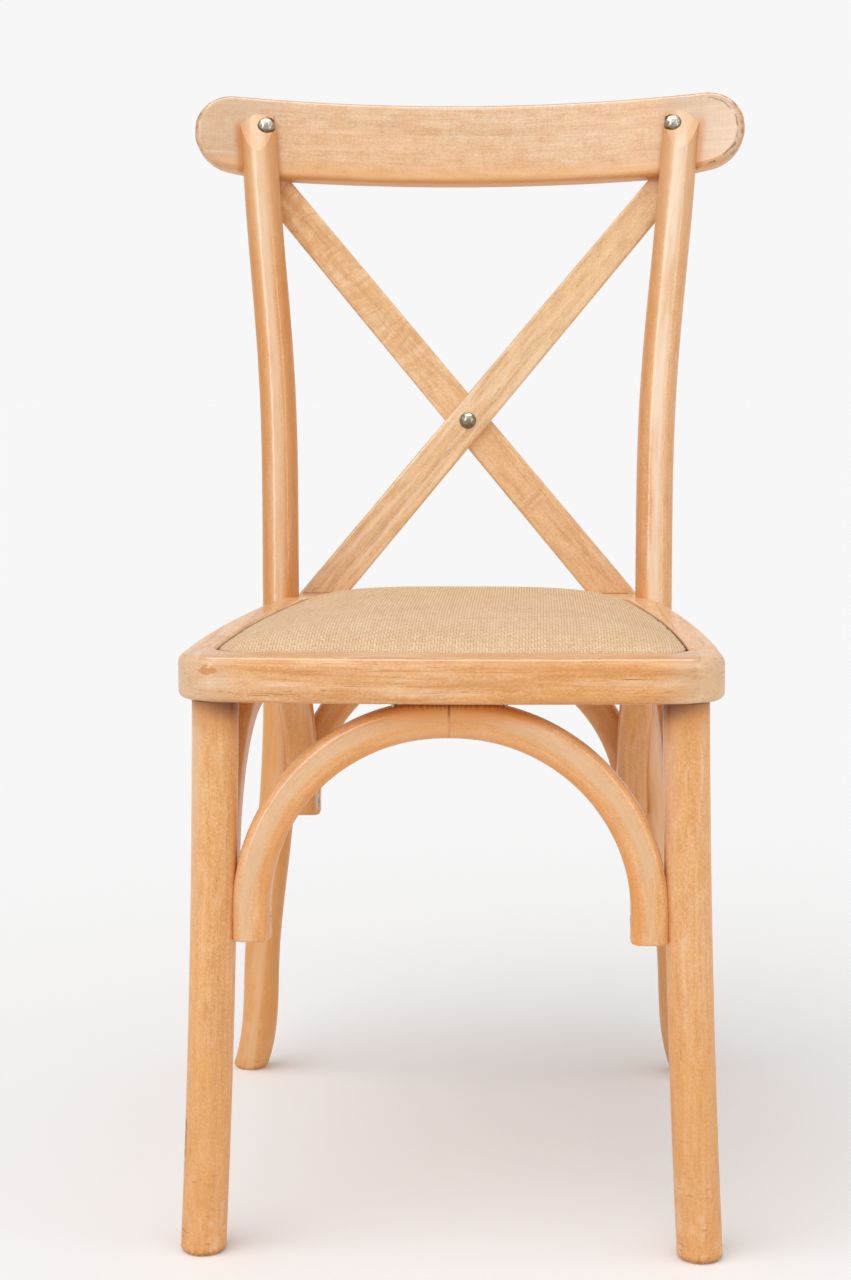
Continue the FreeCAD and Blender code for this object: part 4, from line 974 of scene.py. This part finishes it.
class CHAIR_OT_fastenings(bpy.types.Operator):
    """Makes the domed bolts and the wood screws, and finishes the nuts and washers"""
    bl_idname = "chair.fastenings"
    bl_label = "Bolts and screws"

    def execute(self, context):
        steel = context.scene.chair_steel
        zinc = self.plated("zinc", steel.zinc, steel.tarnish, roughness=0.20)
        dark = self.plated("dark_steel", steel.dark, steel.tarnish, roughness=0.24)
        bright = self.plated("screw_steel", steel.screw, steel.tarnish, roughness=0.36)
        put_on(zinc, "crest_washers", "crest_nuts", "cross_nut")
        self.dome("dome_bolts", "crest_bolts", steel, zinc, "bolt_steel", radius=8.0,
                  rise=5.5, shank=3.0)
        self.dome("cross_dome_bolt", "cross_bolt", steel, dark, "dark_steel", radius=7.5,
                  rise=5.0, shank=2.5)
        for node, flush in SCREWS:
            self.screws(node, flush, bright)
        return {"FINISHED"}

    def plated(self, name, colour, spots, roughness):
        """Dull plated steel with stains."""
        steel = Finish(name)
        stain = steel.specks(420, detail=4)
        pit = steel.specks(1500, detail=2)
        mottled = steel.mix(stain.rise(0.50, 0.68) * 0.75, colour, spots)
        steel.surface(Base_Color=mottled, Metallic=1.0,
                      Roughness=stain * 0.3 + roughness - 0.1)
        steel.bump(pit * 0.6 + stain, distance=0.00015)
        return steel

    def dome(self, name, node, steel, finish, slot, radius, rise, shank):
        """A bolt with a hammered dome and a threaded end, in millimetres."""
        seats = seats_of(node)
        length = seats[0][2] / MM
        ball = (radius ** 2 + rise ** 2) / (2 * rise)
        widest = math.asin(radius / ball)
        tilts = [widest * i / DOME_ROUNDS for i in range(DOME_ROUNDS)]
        arc = [(ball * math.sin(tilt), rise - ball * (1 - math.cos(tilt))) for tilt in tilts]
        profile = arc + [(radius - 0.15, 0.25), (radius - 0.3, 0.0), (shank, 0.0),
                         (shank, 12 - length)]
        profile += thread(shank, depth=0.35, pitch=1.0, start=11 - length, end=0.8 - length)
        profile += [(shank - 0.6, -length), (0.0, -length)]
        bolt = turned(profile, DOME_STEPS)
        draw = random.Random(node)
        for _ in range(steel.dents):
            tilt = widest * draw.uniform(0, 1) ** 0.5
            spin = draw.uniform(0, 2 * math.pi)
            spot = Vector((math.sin(tilt) * math.cos(spin), math.sin(tilt) * math.sin(spin),
                           math.cos(tilt))) * ball - Vector((0, 0, ball - rise))
            spot, width = spot * MM, draw.uniform(*DENT_WIDTHS) * MM
            for vertex in bolt.verts:
                gap = (vertex.co - spot).length / width
                if vertex.co.z > DENTS_FROM and gap < 1:
                    vertex.co.z -= steel.dent_depth * (1 - gap ** 2) ** 2
        piece = set_out(bolt, seats, name)
        self.hand_over(piece, node, finish, slot)

    def screws(self, node, flush, finish):
        """Cross-headed wood screws: pulled in flush, or with a low round head."""
        seats = seats_of(node)
        length = seats[0][2] / MM
        head = FLUSH_HEAD if flush else ROUND_HEAD
        shank = [(1.9, -length * 0.35)]
        shank += thread(2.1, depth=0.5, pitch=1.8, start=-length * 0.38, end=5 - length)
        screw = turned(head + shank + [(0.9, 3 - length), (0, -length)], SCREW_STEPS)
        cross_recess(screw, reach=2.6, depth=1.3)
        piece = set_out(screw, seats, node.replace("screws", "wood_screws"))
        self.hand_over(piece, node, finish, "screw_steel")

    def hand_over(self, piece, node, finish, slot):
        put_on(finish, piece)
        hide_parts(node)
        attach(piece, "root")


# Stage

FLOOR_HALF = 30
# Broad far lamps: name and setting, where each shines from, and its spread in degrees
LAMPS = (("key", (-0.75, -0.9, 1.5), 60), ("fill", (1.1, -0.9, 0.8), 90))
# Softboxes, which show only in the sheen: name, share of the brightness, place and size
SOFTBOXES = (("softbox_left", 1.0, (-1.7, -2.2, 1.3), (0.5, 2.4)),
             ("softbox_right", 0.6, (2.2, -1.6, 1.2), (0.4, 2.2)),
             ("softbox_above", 1.2, (0.0, 0.3, 2.6), (2.2, 0.8)))
SOFTBOX_AIM = Vector((0, 0, 0.6))
FRAME_HEIGHT = 36      # of the camera's frame, in millimetres


class CHAIR_OT_stage(bpy.types.Operator):
    """Sets the floor, the light, the backdrop and the camera"""
    bl_idname = "chair.stage"
    bl_label = "Stage"

    def execute(self, context):
        stage = context.scene.chair_stage
        context.scene.view_settings.view_transform = "Standard"
        self.add_floor(stage)
        for name, towards, spread in LAMPS:
            lamp, light = self.add_lamp(name, "SUN", towards)
            lamp.energy, lamp.angle = getattr(stage, name), math.radians(spread)
        for name, share, place, size in SOFTBOXES:
            lamp, light = self.add_lamp(name, "AREA", Vector(place) - SOFTBOX_AIM)
            lamp.shape, (lamp.size, lamp.size_y) = "RECTANGLE", size
            lamp.energy = stage.sheen * share * math.pi * size[0] * size[1]
            light.location = place
            light.visible_diffuse = light.visible_camera = False
        self.add_sky(context.scene, stage)
        self.add_camera(context.scene, stage)
        return {"FINISHED"}

    def add_floor(self, stage):
        """A wide sheet of pale paper."""
        shape = bmesh.new()
        bmesh.ops.create_grid(shape, x_segments=2, y_segments=2, size=FLOOR_HALF)
        floor = piece_from(shape, "floor")
        paper = Finish("floor_paper")
        grain = paper.noise(paper.x * 700, paper.y * 700, paper.z, detail=2)
        paper.surface(Base_Color=paper.mix(grain * 0.01, stage.floor, (0.8, 0.8, 0.8)),
                      Roughness=1.0, Specular_IOR_Level=0.0)
        put_on(paper, floor)

    def add_lamp(self, name, kind, towards):
        """A lamp that shines from a direction."""
        lamp = bpy.data.lights.new(name, kind)
        light = new_object(name, lamp)
        light.rotation_euler = Vector(towards).to_track_quat("Z", "Y").to_euler()
        return lamp, light

    def add_sky(self, scene, stage):
        """Even light on the object, and the floor's own colour where the camera and
        reflections see past it."""
        world = bpy.data.worlds.new("sky")
        world.use_nodes = True
        world.node_tree.nodes.clear()
        scene.world = world
        sky = Nodes(world.node_tree)
        rays = sky.node("ShaderNodeLightPath").outputs
        seen = sky.node("ShaderNodeMath", {"operation": "ADD", "use_clamp": True},
                        {0: rays["Is Camera Ray"], 1: rays["Is Glossy Ray"]})
        lit = sky.node("ShaderNodeBackground",
                       sockets={"Color": (1, 1, 1, 1), "Strength": stage.sky})
        shown = sky.node("ShaderNodeBackground", sockets={"Color": tuple(stage.floor) + (1,)})
        mixed = sky.node("ShaderNodeMixShader", sockets={
            0: seen.outputs[0], 1: lit.outputs[0], 2: shown.outputs[0]})
        sky.node("ShaderNodeOutputWorld", sockets={"Surface": mixed.outputs[0]})

    def add_camera(self, scene, stage):
        """The camera, from its place and its yaw, pitch and roll."""
        yaw, pitch, roll = stage.turn
        ahead = Vector((math.sin(yaw) * math.cos(pitch), math.cos(yaw) * math.cos(pitch),
                        -math.sin(pitch)))
        level = Vector((math.cos(yaw), -math.sin(yaw), 0))
        upright = level.cross(ahead)
        right = level * math.cos(roll) + upright * math.sin(roll)
        up = upright * math.cos(roll) - level * math.sin(roll)
        lens = bpy.data.cameras.new("camera")
        lens.sensor_fit, lens.sensor_height = "VERTICAL", FRAME_HEIGHT
        lens.lens = stage.lens
        camera = new_object("camera", lens)
        camera.matrix_world = Matrix.Translation(stage.place) @ Matrix(
            (right, up, -ahead)).transposed().to_4x4()
        scene.camera = camera


# Add-on

STEPS = (CHAIR_OT_stage, CHAIR_OT_ring, CHAIR_OT_legs, CHAIR_OT_crest, CHAIR_OT_slats,
         CHAIR_OT_arches, CHAIR_OT_board, CHAIR_OT_pad, CHAIR_OT_weave,
         CHAIR_OT_fastenings)
SETTINGS = {"chair_wood": ChairWood, "chair_seat": ChairSeat, "chair_steel": ChairSteel,
            "chair_stage": ChairStage}


class CHAIR_PT_panel(bpy.types.Panel):
    """Lists the chair's settings and steps"""
    bl_idname = "CHAIR_PT_panel"
    bl_label = "Cross Back Chair"
    bl_space_type = "VIEW_3D"
    bl_region_type = "UI"
    bl_category = "Chair"

    def draw(self, context):
        for name, group in SETTINGS.items():
            box = self.layout.box()
            for setting in group.__annotations__:
                box.prop(getattr(context.scene, name), setting)
        for step in STEPS:
            self.layout.operator(step.bl_idname)


def register():
    for group in (*SETTINGS.values(), *STEPS, CHAIR_PT_panel):
        bpy.utils.register_class(group)
    for name, group in SETTINGS.items():
        setattr(bpy.types.Scene, name, PointerProperty(type=group))


def unregister():
    for name in SETTINGS:
        delattr(bpy.types.Scene, name)
    for group in reversed((*SETTINGS.values(), *STEPS, CHAIR_PT_panel)):
        bpy.utils.unregister_class(group)


def main():
    """Runs every step."""
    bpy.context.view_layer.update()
    register()
    for step in STEPS:
        group, name = step.bl_idname.split(".")
        getattr(getattr(bpy.ops, group), name)()


if __name__ == "__main__":
    main()
